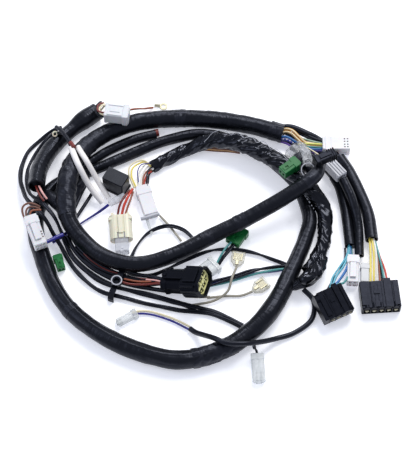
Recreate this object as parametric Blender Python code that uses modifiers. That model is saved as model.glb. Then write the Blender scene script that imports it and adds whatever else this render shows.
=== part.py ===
"""Wiring harness of a small motorcycle, laid down in one loose coil.

Sleeved branches and thin leads run between moulded connector housings.
Every route point and every place is in millimetres in the coil's own plan.
A housing is modelled about its middle: X across it, -Y towards its mating
face, where the other half plugs in, and +Y towards its wires.
"""
import math

import bmesh
import bpy
from mathutils import Euler, Matrix, Vector

MM = 0.001
MIDDLE = (-3.3, 7.8)          # middle of the coil's plan, taken off every place

# Thickness of each branch at its fullest, and of the leads
TRUNK = 15.5
LOOP_TRUNK = 16.4
FILM_BRANCH = 13.0
LEFT_BRANCH = 15.0
MIDDLE_BRANCH = 8.0
RIGHT_BRANCH = 11.0
TWIN_BRANCH_A = 9.5
TWIN_BRANCH_B = 8.0
WHITE_SLEEVE_A = 5.2
WHITE_SLEEVE_B = 4.8
OUTER_LEAD = 4.0
ARCH_LEAD = 3.6
SIX_WAY_LEAD = 8.0
LOOP_LEAD = 3.8
SIDE_LEAD = 4.4
TWO_PIN_LEAD = 4.2
COIL_LEAD = 6.0
SPADE_WIRE = 2.4
BLUE_LEAD = 5.0
GREY_WIRE = 2.8
EYELET_WIRE = 1.9
FAN_TO_TOP_BLOCK = 5.0
FAN_TO_LONG_BLOCK = 12.0
FAN_TO_CENTRAL = 7.0
FAN_TO_CREAM = 4.5
FAN_TO_FIVE_WAY = 9.0
FAN_TO_FOUR_WAY = 8.0
FAN_TO_LEFT_BLOCK = 4.0
FAN_TO_GREEN = 3.6
BOTTOM_WIRE = 3.0

# Moulded housings
GAP = 0.3                     # clearance between pieces that touch
WALL = 1.2                    # wall round a mating mouth
MOUTH_DEPTH = 3.2             # how far a mouth is let in
EDGE = 0.5                    # rounding of a moulded edge
FIVE_WAY_PITCH = 6.0          # from one blade to the next
FOUR_WAY_PITCH = 5.2
SLOT = (4.2, 2.4)             # slot that a blade goes into
SLOT_DEPTH = 9.0
SMALL_SLOT = 2.0              # square way in the small nylon blocks
BLADE_HOUSING_LENGTH = 25.0
BLADE_HOUSING_HEIGHT = 11.0
RIB_HEIGHT = 1.0
LATCH_THICKNESS = 1.4
LATCH_WIDTH = 5.0

SIX_WAY_LENGTH = 38.0
SIX_WAY_WIDTH = 24.0
SIX_WAY_HEIGHT = 18.0
SIX_WAY_HOOD = 15.0           # how deep the hood is round the insert
SIX_WAY_WALL = 1.8
SIX_WAY_RECESS = 2.4          # from the rim down to the insert's face
SIX_WAY_PITCH = (6.3, 6.2)
SIX_WAY_PLACE = (-18.8, -43.2, 14.9)
SIX_WAY_TURN = 80.0
SIX_WAY_TILT = -15.0          # the hood's mouth is lifted by this much

CREAM_LENGTH = 23.0
CREAM_WIDTH = 19.5
CREAM_HEIGHT = 9.6
CREAM_PLUG_LENGTH = 18.0
CREAM_PLUG_WIDTH = 11.6
CREAM_PLUG_HEIGHT = 7.6
CREAM_SEAT = 6.0              # how far the plug goes in
CREAM_PLACE = (-74.6, 13.4, 5.2)
CREAM_TURN = 5.0

RELAY_WIDTH = 20.0
RELAY_DEPTH = 13.4
RELAY_HEIGHT = 18.0
RELAY_SKIRT = 3.0

CLEAR_WAY = 1.1               # radius of a way in a clear housing
CRIMP_LENGTH = 15.0
CRIMP_THICKNESS = 5.6
CLIP_BAND = 1.2
CLIP_WIDTH = 5.0
CLIP_SPAN = 29.0
CLIP_RISE = 10.0
CLIP_RING = 4.8               # radius of the ring on the clip
CLIP_BORE = 2.4
CLIP_RING_HEIGHT = 3.0
EYELET_RADIUS = 3.6
EYELET_BORE = 1.8
EYELET_THICKNESS = 1.0
BOOT_THICKNESS = 10.0
BOOT_LENGTH = 20.0

SLEEVE_BLACK = ("pvc sleeve", "2B2D33", 0.45)
LEAD_BLACK = ("black cable", "1F2024", 0.5)
FILM_BLACK = ("vinyl film", "15161A", 0.2)
WHITE_SLEEVE = ("white sleeve", "E9E7E4", 0.5)
NYLON_WHITE = ("natural nylon", "F1F1EE", 0.45)
NYLON_CREAM = ("cream nylon", "E8E6D4", 0.45)
PBT_BLACK = ("black pbt", "26272B", 0.45)
NYLON_GREEN = ("green nylon", "2F8A4D", 0.4)
NYLON_GREY = ("grey nylon", "A9ACB4", 0.45)
INSERT_YELLOW = ("yellow insert", "C9C67A", 0.5)
CLEAR_VINYL = ("clear vinyl", "D8DBDA", 0.15)
BARE_BRASS = ("tinned brass", "C8B88E", 0.3)
WIRE_MIX = ("wire bundle", "6B6F86", 0.5)
WIRE_RED = ("red wire", "D04030", 0.5)
WIRE_BLUE = ("blue wire", "1B1A6B", 0.5)
WIRE_BROWN = ("brown wire", "A05040", 0.5)
WIRE_GREY = ("grey wire", "8A8680", 0.5)
WIRE_CREAM = ("cream wire", "E0CFA0", 0.5)


def clear_scene():
    for obj in list(bpy.data.objects):
        bpy.data.objects.remove(obj, do_unlink=True)


def new_collection(name):
    collection = bpy.data.collections.new(name)
    bpy.context.scene.collection.children.link(collection)
    return collection


def material(finish):
    name, colour, roughness = finish
    if name in bpy.data.materials:
        return bpy.data.materials[name]
    mat = bpy.data.materials.new(name)
    mat.use_nodes = True
    shader = mat.node_tree.nodes["Principled BSDF"]
    srgb = [int(colour[i:i + 2], 16) / 255 for i in (0, 2, 4)]
    shader.inputs["Base Color"].default_value = (*[c ** 2.2 for c in srgb], 1)
    shader.inputs["Roughness"].default_value = roughness
    shader.inputs["Metallic"].default_value = 1.0 if "brass" in name else 0.0
    return mat


def put_in(obj, collection):
    for owner in list(obj.users_collection):
        owner.objects.unlink(obj)
    collection.objects.link(obj)


def spot(x, y, z):
    """A place in the coil's plan, in metres from its middle."""
    return Vector((x - MIDDLE[0], y - MIDDLE[1], z)) * MM


# Cords
def smooth_route(points, step):
    """Points every step along a centripetal Catmull-Rom curve through the route."""
    route = [Vector(p) for p in points]
    route = [2 * route[0] - route[1]] + route + [2 * route[-1] - route[-2]]

    def distance(p, q):
        return (q.to_3d() - p.to_3d()).length

    sampled = []
    for p0, p1, p2, p3 in zip(route, route[1:], route[2:], route[3:]):
        t0 = 0.0
        t1 = t0 + math.sqrt(distance(p0, p1))
        t2 = t1 + math.sqrt(distance(p1, p2))
        t3 = t2 + math.sqrt(distance(p2, p3))
        count = max(1, round(distance(p1, p2) / step))
        for i in range(count):
            t = t1 + (t2 - t1) * i / count
            a1 = p0.lerp(p1, (t - t0) / (t1 - t0))
            a2 = p1.lerp(p2, (t - t1) / (t2 - t1))
            a3 = p2.lerp(p3, (t - t2) / (t3 - t2))
            b1 = a1.lerp(a2, (t - t0) / (t2 - t0))
            b2 = a2.lerp(a3, (t - t1) / (t3 - t1))
            sampled.append(b1.lerp(b2, (t - t1) / (t2 - t1)))
    sampled.append(route[-2])
    return sampled


def cord(name, finish, thickness, route, spacing=2.5):
    """A tube along route points (x, y, z) or (x, y, z, share of the thickness)."""
    route = [p if len(p) == 4 else (*p, 1.0) for p in route]
    points = smooth_route(route, spacing * thickness * sum(p[3] for p in route) / len(route))
    curve = bpy.data.curves.new(name, "CURVE")
    curve.dimensions = "3D"
    curve.bevel_depth = thickness / 2 * MM
    curve.bevel_resolution = 4 if thickness > 9 else 2
    curve.use_fill_caps = True
    spline = curve.splines.new("POLY")
    spline.points.add(len(points) - 1)
    for target, (x, y, z, share) in zip(spline.points, points):
        target.co = (*spot(x, y, z), 1.0)
        target.radius = share
    obj = bpy.data.objects.new(name, curve)
    curve.materials.append(material(finish))
    HARNESS.objects.link(obj)
    return obj


# Solids
def block(name, size, at=(0, 0, 0), edge=0.0):
    """A box of size (mm) with its middle at a place in its owner's frame."""
    bpy.ops.mesh.primitive_cube_add(size=1)
    obj = bpy.context.object
    obj.name = name
    obj.data.transform(Matrix.Diagonal((*[s * MM for s in size], 1)))
    obj.location = Vector(at) * MM
    if edge:
        round_edges(obj, edge)
    return obj


def rod(name, radius, length, at=(0, 0, 0), along="Z", sides=12):
    """A cylinder with its middle at a place, lying along X, Y or Z."""
    bpy.ops.mesh.primitive_cylinder_add(vertices=sides, radius=radius * MM, depth=length * MM)
    obj = bpy.context.object
    obj.name = name
    turn = {"X": (0, math.pi / 2, 0), "Y": (math.pi / 2, 0, 0), "Z": (0, 0, 0)}[along]
    obj.data.transform(Euler(turn).to_matrix().to_4x4())
    obj.location = Vector(at) * MM
    return obj


def outline(name, corners, thickness, at=(0, 0, 0), flat="Z", edge=0.0):
    """A plate of a given outline; its corners lie across X, Y or Z."""
    mesh = bpy.data.meshes.new(name)
    form = bmesh.new()
    turned = {"Z": lambda a, b: (a, b, 0), "Y": lambda a, b: (a, 0, b), "X": lambda a, b: (0, a, b)}
    normal = {"Z": Vector((0, 0, 1)), "Y": Vector((0, 1, 0)), "X": Vector((1, 0, 0))}[flat]
    vertices = [form.verts.new(Vector(turned[flat](a, b)) * MM) for a, b in corners]
    face = form.faces.new(vertices)
    face.normal_update()
    bmesh.ops.translate(form, verts=vertices, vec=-normal * thickness / 2 * MM)
    swept = bmesh.ops.extrude_face_region(form, geom=[face])
    top = [v for v in swept["geom"] if isinstance(v, bmesh.types.BMVert)]
    bmesh.ops.translate(form, verts=top, vec=normal * thickness * MM)
    bmesh.ops.recalc_face_normals(form, faces=form.faces)
    form.to_mesh(mesh)
    form.free()
    obj = bpy.data.objects.new(name, mesh)
    obj.location = Vector(at) * MM
    bpy.context.scene.collection.objects.link(obj)
    if edge:
        round_edges(obj, edge)
    return obj


def round_edges(obj, width, segments=1):
    bevel = obj.modifiers.new("rounded edges", "BEVEL")
    bevel.width = width * MM
    bevel.segments = segments
    bevel.limit_method = "ANGLE"


def combine(body, operation, pieces):
    """Joins pieces to a body, or cuts them out of it."""
    name = f"{body.name} {operation.lower()}"
    operands = bpy.data.collections.new(name)
    CUTTERS.children.link(operands)
    for piece in pieces:
        put_in(piece, operands)
        piece.parent = body
        piece.hide_render = True
        piece.display_type = "WIRE"
    boolean = body.modifiers.new(name, "BOOLEAN")
    boolean.operation = operation
    boolean.operand_type = "COLLECTION"
    boolean.collection = operands
    boolean.solver = "EXACT"


def settle(body, finish, at, turn=0.0, tilt=0.0, roll=0.0):
    """Gives a finished piece its colour and lays it in its place in the coil."""
    put_in(body, HARNESS)
    body.data.materials.append(material(finish))
    body.location = spot(*at)
    body.rotation_euler = Euler([math.radians(a) for a in (tilt, roll, turn)])
    return body


def across(count, pitch):
    """Places of a row of like features, evenly about the middle."""
    return [(i - (count - 1) / 2) * pitch for i in range(count)]


# Branches and leads
def make_branches():
    cord("main_trunk", SLEEVE_BLACK, TRUNK, [
        (65, 107.5, 8), (36, 116.5, 8), (3, 122.5, 8), (-34, 123.5, 8), (-67.5, 118.5, 8),
        (-95, 103.5, 9.5), (-113, 80, 15), (-120, 54.5, 20.2), (-121, 32.5, 20), (-117, 13, 17, 0.94),
        (-104, -4, 13.2, 0.87), (-86, -18.5, 12.2, 0.87), (-61.5, -25, 12, 0.87), (-32.5, -17.5, 12, 0.87),
        (2.5, 1.5, 13, 0.87), (31.5, 15.5, 17.5, 0.84), (63.5, 32, 25, 0.84), (82, 43.5, 29.4, 0.81),
        (91.5, 53.5, 29.5, 0.77), (94, 64.5, 27, 0.77)])
    cord("lower_trunk", SLEEVE_BLACK, LOOP_TRUNK, [
        (6.5, 107.5, 5, 0.58), (-11.5, 109, 5, 0.58), (-42.5, 100.5, 5, 0.58), (-77, 83.5, 5, 0.58),
        (-104.5, 70, 5, 0.58), (-126.5, 61, 5.2, 0.58), (-139.5, 45.5, 6.8, 0.76), (-147, 26.5, 7.2, 0.84),
        (-146, 6.5, 7.5, 0.88), (-141, -10.5, 7.5, 0.88), (-130, -40.5, 7.5, 0.88), (-116.5, -62.5, 7.5, 0.88),
        (-99.5, -79.5, 7.8, 0.91), (-63, -101, 8, 0.95), (-21.5, -111, 8, 0.95), (16.5, -99, 8, 0.95),
        (34.5, -85, 8.2, 0.98), (48, -70.5, 8.4), (58, -53.5, 8, 0.95), (66, -36, 7, 0.82),
        (74, -16.5, 5.4, 0.64), (81, 2, 5.2, 0.61), (85.5, 20, 5.2, 0.61), (82.5, 38.5, 5.2, 0.61),
        (76, 55.5, 5.2, 0.61), (59, 76, 5.2, 0.61), (40, 89, 5.2, 0.61), (23.5, 93.5, 5.2, 0.61)])
    cord("film_wrapped_branch", FILM_BLACK, FILM_BRANCH, [
        (82.3, -29, 7, 0.94), (89.5, -18, 7), (96, -4.5, 7), (98.5, 15, 7), (96.5, 33, 10), (86, 46.5, 16),
        (68, 65.5, 17.8), (46, 82.5, 17.5), (23.5, 93.5, 17, 0.92), (2.5, 97.5, 12, 0.77),
        (-16.5, 94, 6, 0.73), (-49.5, 75, 5, 0.73)])
    cord("left_branch_tube", SLEEVE_BLACK, LEFT_BRANCH, [
        (-98.5, 131.5, 7.8), (-110, 122, 7.8, 0.93), (-120, 112.5, 7.3, 0.77), (-136.5, 91.5, 9.5, 0.73),
        (-145, 67.5, 15.5, 0.8), (-146.5, 45.5, 21.5, 0.8)])
    cord("middle_branch", SLEEVE_BLACK, MIDDLE_BRANCH, [
        (-46.5, 109.5, 4.2), (-64, 104.5, 4.2), (-88, 92, 4.2), (-100, 83, 4.4)])
    cord("right_branch_tube", SLEEVE_BLACK, RIGHT_BRANCH, [
        (121, 69.5, 5.8), (129, 48.5, 5.8), (135.5, 26.5, 5.8), (137.5, 2, 5.8)])
    cord("twin_branch_a", SLEEVE_BLACK, TWIN_BRANCH_A, [
        (100.5, 68, 5), (109, 49, 5), (112.5, 25, 5), (114.5, -4.5, 5)])
    cord("twin_branch_b", SLEEVE_BLACK, TWIN_BRANCH_B, [
        (114.5, 56, 16), (121.5, 39, 13), (125.5, 18.5, 7.5), (123.2, -12.8, 4.8)])
    cord("white_sleeve_a", WHITE_SLEEVE, WHITE_SLEEVE_A, [
        (-118, 81, 26.6), (-110.5, 62, 27.2), (-101.5, 50, 13), (-91, 39.5, 4)])
    cord("white_sleeve_b", WHITE_SLEEVE, WHITE_SLEEVE_B, [
        (-112.5, 82.5, 25.8), (-104.5, 68.5, 25.4), (-95, 56.5, 12), (-86, 44, 3.8)])


def make_leads():
    cord("outer_lead_a", LEAD_BLACK, OUTER_LEAD, [
        (-119, 87, 22.5), (-124.5, 98.5, 19), (-134.5, 104.5, 14), (-143.5, 101, 4.5), (-151.5, 89.5, 2.4),
        (-156.5, 76, 2.4), (-156.5, 58, 4.6), (-152, 43, 11.5), (-141, 30.5, 19), (-131, 19, 17.5),
        (-124.7, 8, 10.5), (-120.5, -1, 5), (-115, -11.5, 2.4), (-107, -22.5, 2.4), (-94.5, -33.5, 2.4),
        (-76.5, -42, 2.4), (-57, -46, 2.4), (-35.5, -53.5, 2.4)])
    cord("outer_lead_b", LEAD_BLACK, OUTER_LEAD, [
        (-129.5, 114, 8), (-137, 113.5, 3.5), (-145.5, 107, 2.4), (-157.5, 92, 2.4), (-163, 72.5, 2.8),
        (-156.5, 41, 13), (-142.5, 21, 19.7), (-136, 13.5, 15), (-131, 5.5, 10.5), (-126.2, -1.5, 6.8),
        (-119.3, -13.3, 2.4), (-111.5, -25.5, 2.4), (-99.5, -38.5, 2.4), (-86, -47, 2.4), (-75.5, -50, 2.4),
        (-53, -56.5, 2.4), (-27, -62.5, 2.4), (1, -66.5, 2.4), (22.5, -76, 2.4)])
    cord("arch_lead", LEAD_BLACK, ARCH_LEAD, [
        (-68, -28.6, 3), (-60, -30.5, 3.4), (-48.5, -31, 3.6), (-35, -24.5, 2.2), (-17.5, -14.5, 2.2),
        (4.5, -6, 2.2), (31.5, -7, 2.2), (57.5, -16.5, 2.2)])
    cord("six_way_lead", LEAD_BLACK, SIX_WAY_LEAD, [
        (-111.5, -4.3, 4.3), (-102.5, -16, 4.3), (-89.3, -25.8, 4.3), (-76.5, -32.5, 4.3), (-60.5, -37.5, 4.6),
        (-50, -39.3, 6.6), (-37.9, -40.1, 9.6)])
    cord("loop_lead", LEAD_BLACK, LOOP_LEAD, [
        (-67, -18, 2.4), (-60.3, -1, 2.4), (-50, 12, 2.4), (-34.5, 15.5, 5.8), (-22, 13.5, 3),
        (-14, 6.5, 2.4)])
    cord("side_lead", LEAD_BLACK, SIDE_LEAD, [
        (78.5, -44.8, 5), (86.7, -54, 2.6), (84.8, -71.4, 2.6), (70, -84, 2.6), (55.5, -90, 4.5),
        (43, -96.3, 11.2), (30, -101.5, 18.6), (14.5, -101.5, 19.4), (4, -95.5, 16.4), (-5, -88.5, 8.5),
        (-11, -83.8, 3.6), (-15.5, -80, 2.6)])
    cord("two_pin_wires", WIRE_CREAM, TWO_PIN_LEAD, [
        (-16.2, -79.4, 2.5), (-32, -71, 2.4), (-48.5, -65.5, 2.4), (-58, -65.5, 3)])
    cord("coil_lead", WIRE_GREY, COIL_LEAD, [
        (6.5, -37.6, 3.3), (19.5, -33.5, 3.3), (39.5, -27, 3.3), (58.5, -24, 3.3)])
    cord("spade_wire_a", WIRE_GREY, SPADE_WIRE, [
        (-1.5, -51, 1.6), (14.5, -49.5, 1.6), (27, -49, 1.6), (36.3, -45.5, 2.2)])
    cord("spade_wire_b", WIRE_GREY, SPADE_WIRE, [
        (-15.5, -58, 1.6), (4.5, -54.5, 2.6), (16, -47, 6), (19.3, -36, 9.4), (23.0, -22.4, 2.6)])
    cord("blue_lead", WIRE_BLUE, BLUE_LEAD, [
        (-85.4, 35.8, 7.3, 0.56), (-88.5, 33.4, 6.4, 0.56), (-92.5, 31.4, 4, 0.56), (-97, 29, 2.2, 0.56),
        (-108, 21, 1.8, 0.56), (-119.5, 11, 2.6, 0.66), (-126, 6.5, 2.9), (-132.5, 2, 2.9)], 3.5)
    cord("grey_wire", WIRE_GREY, GREY_WIRE, [
        (-41.6, 28, 2.2), (-36, 21, 1.8), (-30, 12.5, 1.8), (-23.5, 3, 1.8)])
    cord("eyelet_wire", WIRE_BROWN, EYELET_WIRE, [
        (-67.9, 122, 19), (-63, 131, 9), (-56, 139, 1.5), (-49.3, 140.5, 1.3)])
    cord("bottom_wire", LEAD_BLACK, BOTTOM_WIRE, [
        (36.6, -99.7, 11), (37.2, -100.6, 8), (38.8, -101.4, 5), (39.2, -103.7, 4.2)])


def make_wire_fans():
    cord("top_block_wires", WIRE_BROWN, FAN_TO_TOP_BLOCK, [
        (-97.8, 132.1, 8), (-94.9, 134.5, 8.8), (-92.8, 134.8, 14), (-93.8, 130.5, 19.8), (-97, 124.5, 22.8),
        (-96.6, 119.6, 23.3), (-93.6, 118.3, 23.2), (-90, 118.2, 23.1)], 1.2)
    cord("long_block_wires", WIRE_MIX, FAN_TO_LONG_BLOCK, [
        (66.1, 107.15, 8), (75.5, 104, 7.6), (87.5, 98.5, 7, 0.92), (97.4, 96.3, 6.4, 0.8)], 1.2)
    cord("central_wires", WIRE_CREAM, FAN_TO_CENTRAL, [
        (-50, 74.6, 5), (-58, 71, 5.4), (-61.2, 64.5, 5.6), (-60.4, 54.7, 5.4)], 1.2)
    cord("cream_wires", WIRE_RED, FAN_TO_CREAM, [
        (-66.5, 50, 9.5), (-67.5, 43.5, 11), (-71.5, 34.5, 8), (-75.1, 26.3, 5.4)], 1.5)
    cord("five_way_wires", WIRE_CREAM, FAN_TO_FIVE_WAY, [
        (137.6, 1.6, 5.8, 0.9), (138.5, -10, 6.2, 0.9), (139.5, -21.5, 6.6, 0.95),
        (140.4, -32, 6.6, 0.9), (140.4, -39.4, 6.4, 0.76)], 1.2)
    cord("four_way_wires", WIRE_BLUE, FAN_TO_FOUR_WAY, [
        (114.6, -5.4, 5, 0.8), (114.5, -9.8, 5.1, 0.8), (110.5, -18, 6, 0.8), (104.5, -27, 8, 0.8),
        (98, -37, 10.6, 0.8), (95.1, -44.5, 12, 0.78), (96.1, -49, 12.1, 0.76)], 1.2)
    cord("left_block_wires", WIRE_BROWN, FAN_TO_LEFT_BLOCK, [
        (-146.8, 25.6, 23.2), (-152, 28, 24.2), (-156, 24, 23.6), (-153, 21, 21.8), (-150.7, 16.3, 20.6)], 1.5)
    cord("green_wires", WIRE_BLUE, FAN_TO_GREEN, [
        (18.5, -1.5, 5.2), (14.5, -9, 6.6), (10, -16.3, 5.6), (6.5, -19.7, 4.8)], 1.5)


# Connector housings
def wire_entries(count, pitch, size, rear, depth=3.0, height=0.0):
    """Pockets in a housing's rear face, one for each wire."""
    return [block("entry", (size, 2 * depth, size), (x, rear, height)) for x in across(count, pitch)]


def slots(count, pitch, size, front, depth, height=0.0):
    """Ways in a housing's mating face, one for each blade."""
    return [block("slot", (size[0], 2 * depth, size[1]), (x, front, height)) for x in across(count, pitch)]


def blade_housing(name, ways, pitch, at, turn, tilt=0.0, lug=False):
    """Housing for flat blades in one row, ribbed on top, with a shallow mouth."""
    length = BLADE_HOUSING_LENGTH
    height = BLADE_HOUSING_HEIGHT
    width = ways * pitch + 2 * WALL
    front = -length / 2
    body = block(name, (width, length, height), edge=EDGE)
    rib = width / 6
    added = [
        block("left rib", (rib, length * 0.86, RIB_HEIGHT * 2), (-width / 2 + rib / 2 + EDGE, 0.8, height / 2)),
        block("middle panel", (rib * 1.5, length * 0.95, RIB_HEIGHT), (-rib / 2, 0.2, height / 2)),
        block("right panel", (rib * 1.1, length + 1.4, RIB_HEIGHT * 3), (rib * 1.25, 0.7, height / 2 - 0.2)),
        block("right rib", (rib * 0.7, length * 0.88, RIB_HEIGHT * 2), (width / 2 - rib * 0.5, 0, height / 2)),
        block("latch bump", (rib * 0.9, 3.0, RIB_HEIGHT * 2.4), (-rib / 2, 1.5, height / 2)),
    ]
    if lug:
        added.append(lug_ring(width, length, height))
    combine(body, "UNION", added)
    mouth = block("mouth", (width - 2 * WALL, 2 * MOUTH_DEPTH, height - 2 * WALL), (0, front, 0))
    combine(body, "DIFFERENCE", [mouth]
            + slots(ways, pitch, SLOT, front, MOUTH_DEPTH + SLOT_DEPTH)
            + wire_entries(ways, pitch, 3.4, length / 2))
    return settle(body, PBT_BLACK, at, turn, tilt)


def lug_ring(width, length, height):
    """The latch guard beside the housing: a side wall with a loop at its rear."""
    rear = length / 2
    return outline("latch guard", [
        (-rear, -height / 2), (rear - 3.0, -height / 2), (rear - 1.0, -height / 2 + 2.0),
        (rear - 1.0, height / 2 - 1.0), (rear - 3.0, height / 2 + 1.4), (rear - 6.5, height / 2 + 1.4),
        (rear - 8.5, height / 2), (-rear, height / 2)],
        3.6, (-width / 2 - 1.5, 0, 0), "X")


def nylon_block(name, finish, size, ways, at, turn, tilt=0.0, roll=0.0, latch=True):
    """Small moulded block: two rows of ways, side grips and a sprung latch on top."""
    width, length, height = size
    front = -length / 2
    body = block(name, size, edge=EDGE)
    shoulder = block("shoulder", (width + 1.2, length * 0.22, height + 0.8), (0, length * 0.3, 0), EDGE / 2)
    added = [shoulder]
    if latch:
        lift = height / 2 + LATCH_THICKNESS / 2
        added += [
            block("latch arm", (LATCH_WIDTH, length * 0.62, LATCH_THICKNESS), (0, -length * 0.04, lift + 0.5)),
            block("latch root", (LATCH_WIDTH, 2.4, 2.4), (0, -length * 0.3, height / 2 + 0.2)),
            block("latch thumb", (LATCH_WIDTH + 1.0, 2.0, 2.0), (0, length * 0.22, height / 2 + 1.3)),
        ]
    combine(body, "UNION", added)
    pitch = (width - 2.0) / ways
    row = height / 4
    cuts = []
    for level in (-row, row):
        cuts += slots(ways, pitch, (SMALL_SLOT, SMALL_SLOT), front, 5.0, level)
        cuts += [block("entry", (SMALL_SLOT, 4.0, SMALL_SLOT), (x, length / 2, level)) for x in across(ways, pitch)]
    for side in (-1, 1):
        cuts.append(block("side groove", (1.0, length * 0.45, height * 0.35), (side * width / 2, -length * 0.15, 0)))
    combine(body, "DIFFERENCE", cuts)
    return settle(body, finish, at, turn, tilt, roll)


def make_white_blocks():
    nylon_block("top_white_housing", NYLON_WHITE, (13.5, 20, 11.5), 3, (-79.2, 118.5, 23.1), 92)
    nylon_block("long_white_housing", NYLON_WHITE, (13.0, 24, 10.5), 4, (110.9, 96.2, 6.1), 90, latch=False)
    nylon_block("right_white_housing", NYLON_WHITE, (9.6, 26, 9.0), 2, (120.3, -27.0, 5.2), -4)
    nylon_block("central_white_housing", NYLON_WHITE, (12.0, 30, 9.6), 3, (-53.1, 39.7, 5.3), 17, latch=False)
    nylon_block("left_white_housing", NYLON_WHITE, (11.0, 30, 9.6), 3, (-144.8, 1.2, 20.4), 21)
    nylon_block("shaded_housing", NYLON_GREY, (7.0, 18, 6.5), 2, (130.3, -29.6, 3.9), -4, latch=False)


def make_flat_black_housing():
    size = (8.0, 20.0, 8.0)
    body = block("flat_black_housing", size, edge=EDGE)
    front = -size[1] / 2
    ribs = [block("grip rib", (size[0] + 1.2, 0.9, size[2] + 1.2), (0, front + 1.6 + 1.9 * i, 0)) for i in range(3)]
    combine(body, "UNION", ribs)
    combine(body, "DIFFERENCE", slots(2, 3.4, (2.2, 3.6), front, 4.0) + wire_entries(2, 3.4, 2.4, size[1] / 2))
    settle(body, PBT_BLACK, (99.0, 67.0, 38.2), 104)


def make_grey_ribbed_housing():
    size = (10.6, 17.5, 8.0)
    body = block("grey_ribbed_housing", size, edge=EDGE)
    ribs = [block("rib", (0.9, size[1] * 0.92, 1.6), (x, 0, size[2] / 2)) for x in across(4, 2.5)]
    clip = [block("latch neck", (3.2, 5.0, 1.6), (2.4, size[1] / 2 + 1.2, size[2] / 2 - 0.6)),
            block("latch head", (4.4, 1.6, 2.6), (2.4, size[1] / 2 + 3.4, size[2] / 2 - 0.4))]
    combine(body, "UNION", ribs + clip)
    combine(body, "DIFFERENCE", slots(2, 4.4, (2.8, 3.0), -size[1] / 2, 2.0))
    settle(body, NYLON_GREY, (108.6, 64.7, 16.4), 37)


def green_housing(name, size, at, turn, tilt=0.0):
    """Two-way housing with a stepped nose, side rails and a latch window."""
    width, length, height = size
    body = block(name, size, edge=EDGE)
    collar = block("collar", (width + 1.4, length * 0.3, height + 1.0), (0, length * 0.28, 0), EDGE / 2)
    rail = block("rail", (width * 0.35, length * 0.55, height + 1.2), (0, -length * 0.12, 0))
    combine(body, "UNION", [collar, rail])
    cuts = slots(2, width * 0.44, (width * 0.28, height * 0.42), -length / 2, 5.0)
    cuts += wire_entries(2, width * 0.44, 2.4, length / 2, 2.5)
    cuts.append(block("window", (width * 0.2, 3.0, 1.6), (0, -length * 0.2, height / 2 + 0.4)))
    combine(body, "DIFFERENCE", cuts)
    return settle(body, NYLON_GREEN, at, turn, tilt)


def make_green_housings():
    green_housing("upper_green_housing", (9.0, 18.0, 8.6), (68.9, 59.3, 29.4), -51)
    green_housing("left_green_housing", (7.0, 14.0, 6.6), (-125.4, -19.0, 4.0), 19)
    green_housing("centre_green_housing", (13.0, 17.0, 6.6), (24.0, 6.5, 4.2), -32)


def make_cream_pair():
    """Two barrels side by side in a collared housing, with its smaller half plugged in."""
    barrel = CREAM_HEIGHT / 2
    body = block("cream_housing", (CREAM_WIDTH - CREAM_HEIGHT, CREAM_LENGTH, CREAM_HEIGHT), edge=EDGE)
    reach = (CREAM_WIDTH - CREAM_HEIGHT) / 2
    front = -CREAM_LENGTH / 2
    added = [rod("barrel", barrel, CREAM_LENGTH, (side * reach, 0, 0), "Y", 16) for side in (-1, 1)]
    added.append(block("collar", (CREAM_WIDTH + 1.0, 3.0, CREAM_HEIGHT - 1.0), (0, CREAM_LENGTH / 2 - 3.5, 0), EDGE))
    added.append(block("latch arm", (3.4, CREAM_LENGTH * 0.7, 1.6), (0, 1.0, CREAM_HEIGHT / 2 + 0.2)))
    added += [block("latch ear", (2.6, 4.0, 2.2), (side * reach * 1.3, CREAM_LENGTH / 2 + 1.4, 1.0)) for side in (-1, 1)]
    combine(body, "UNION", added)
    socket = (CREAM_PLUG_WIDTH + 2 * GAP, 2 * CREAM_SEAT, CREAM_PLUG_HEIGHT + 2 * GAP)
    cuts = [block("socket", socket, (0, front, 0))]
    cuts += [block("channel", (1.2, CREAM_LENGTH + 1, 1.4), (side * reach * 0.55, 0, CREAM_HEIGHT / 2)) for side in (-1, 1)]
    cuts += wire_entries(2, reach * 1.7, 3.2, CREAM_LENGTH / 2)
    combine(body, "DIFFERENCE", cuts)
    settle(body, NYLON_CREAM, CREAM_PLACE, CREAM_TURN)

    plug = block("cream_plug", (CREAM_PLUG_WIDTH, CREAM_PLUG_LENGTH, CREAM_PLUG_HEIGHT), edge=EDGE)
    combine(plug, "UNION", [block("plug rib", (2.4, CREAM_PLUG_LENGTH * 0.5, 1.2),
                                  (0, -CREAM_PLUG_LENGTH * 0.15, CREAM_PLUG_HEIGHT / 2))])
    combine(plug, "DIFFERENCE", wire_entries(2, CREAM_PLUG_WIDTH / 2, 3.0, -CREAM_PLUG_LENGTH / 2, 2.5)
            + [block("parting", (1.0, CREAM_PLUG_LENGTH * 0.3, 1.2),
                     (0, CREAM_PLUG_LENGTH * 0.4, -CREAM_PLUG_HEIGHT / 2))])
    along = front - CREAM_PLUG_LENGTH / 2 + CREAM_SEAT - GAP
    turn = math.radians(CREAM_TURN)
    settle(plug, CLEAR_VINYL, (CREAM_PLACE[0] - along * math.sin(turn), CREAM_PLACE[1] + along * math.cos(turn),
                               CREAM_PLACE[2]), CREAM_TURN)


def make_relay():
    body = block("relay", (RELAY_WIDTH, RELAY_DEPTH, RELAY_HEIGHT), edge=1.0)
    skirt = block("skirt", (RELAY_WIDTH + 1.2, RELAY_DEPTH + 1.2, RELAY_SKIRT),
                  (0, 0, -RELAY_HEIGHT / 2 + RELAY_SKIRT / 2), EDGE)
    combine(body, "UNION", [skirt])
    pins = [block("pin slot", (1.2, 5.0, 5.0), (x, 0, -RELAY_HEIGHT / 2)) for x in across(3, 5.6)]
    combine(body, "DIFFERENCE", pins)
    settle(body, PBT_BLACK, (-79.8, 57.4, RELAY_HEIGHT / 2), -28)


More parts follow.
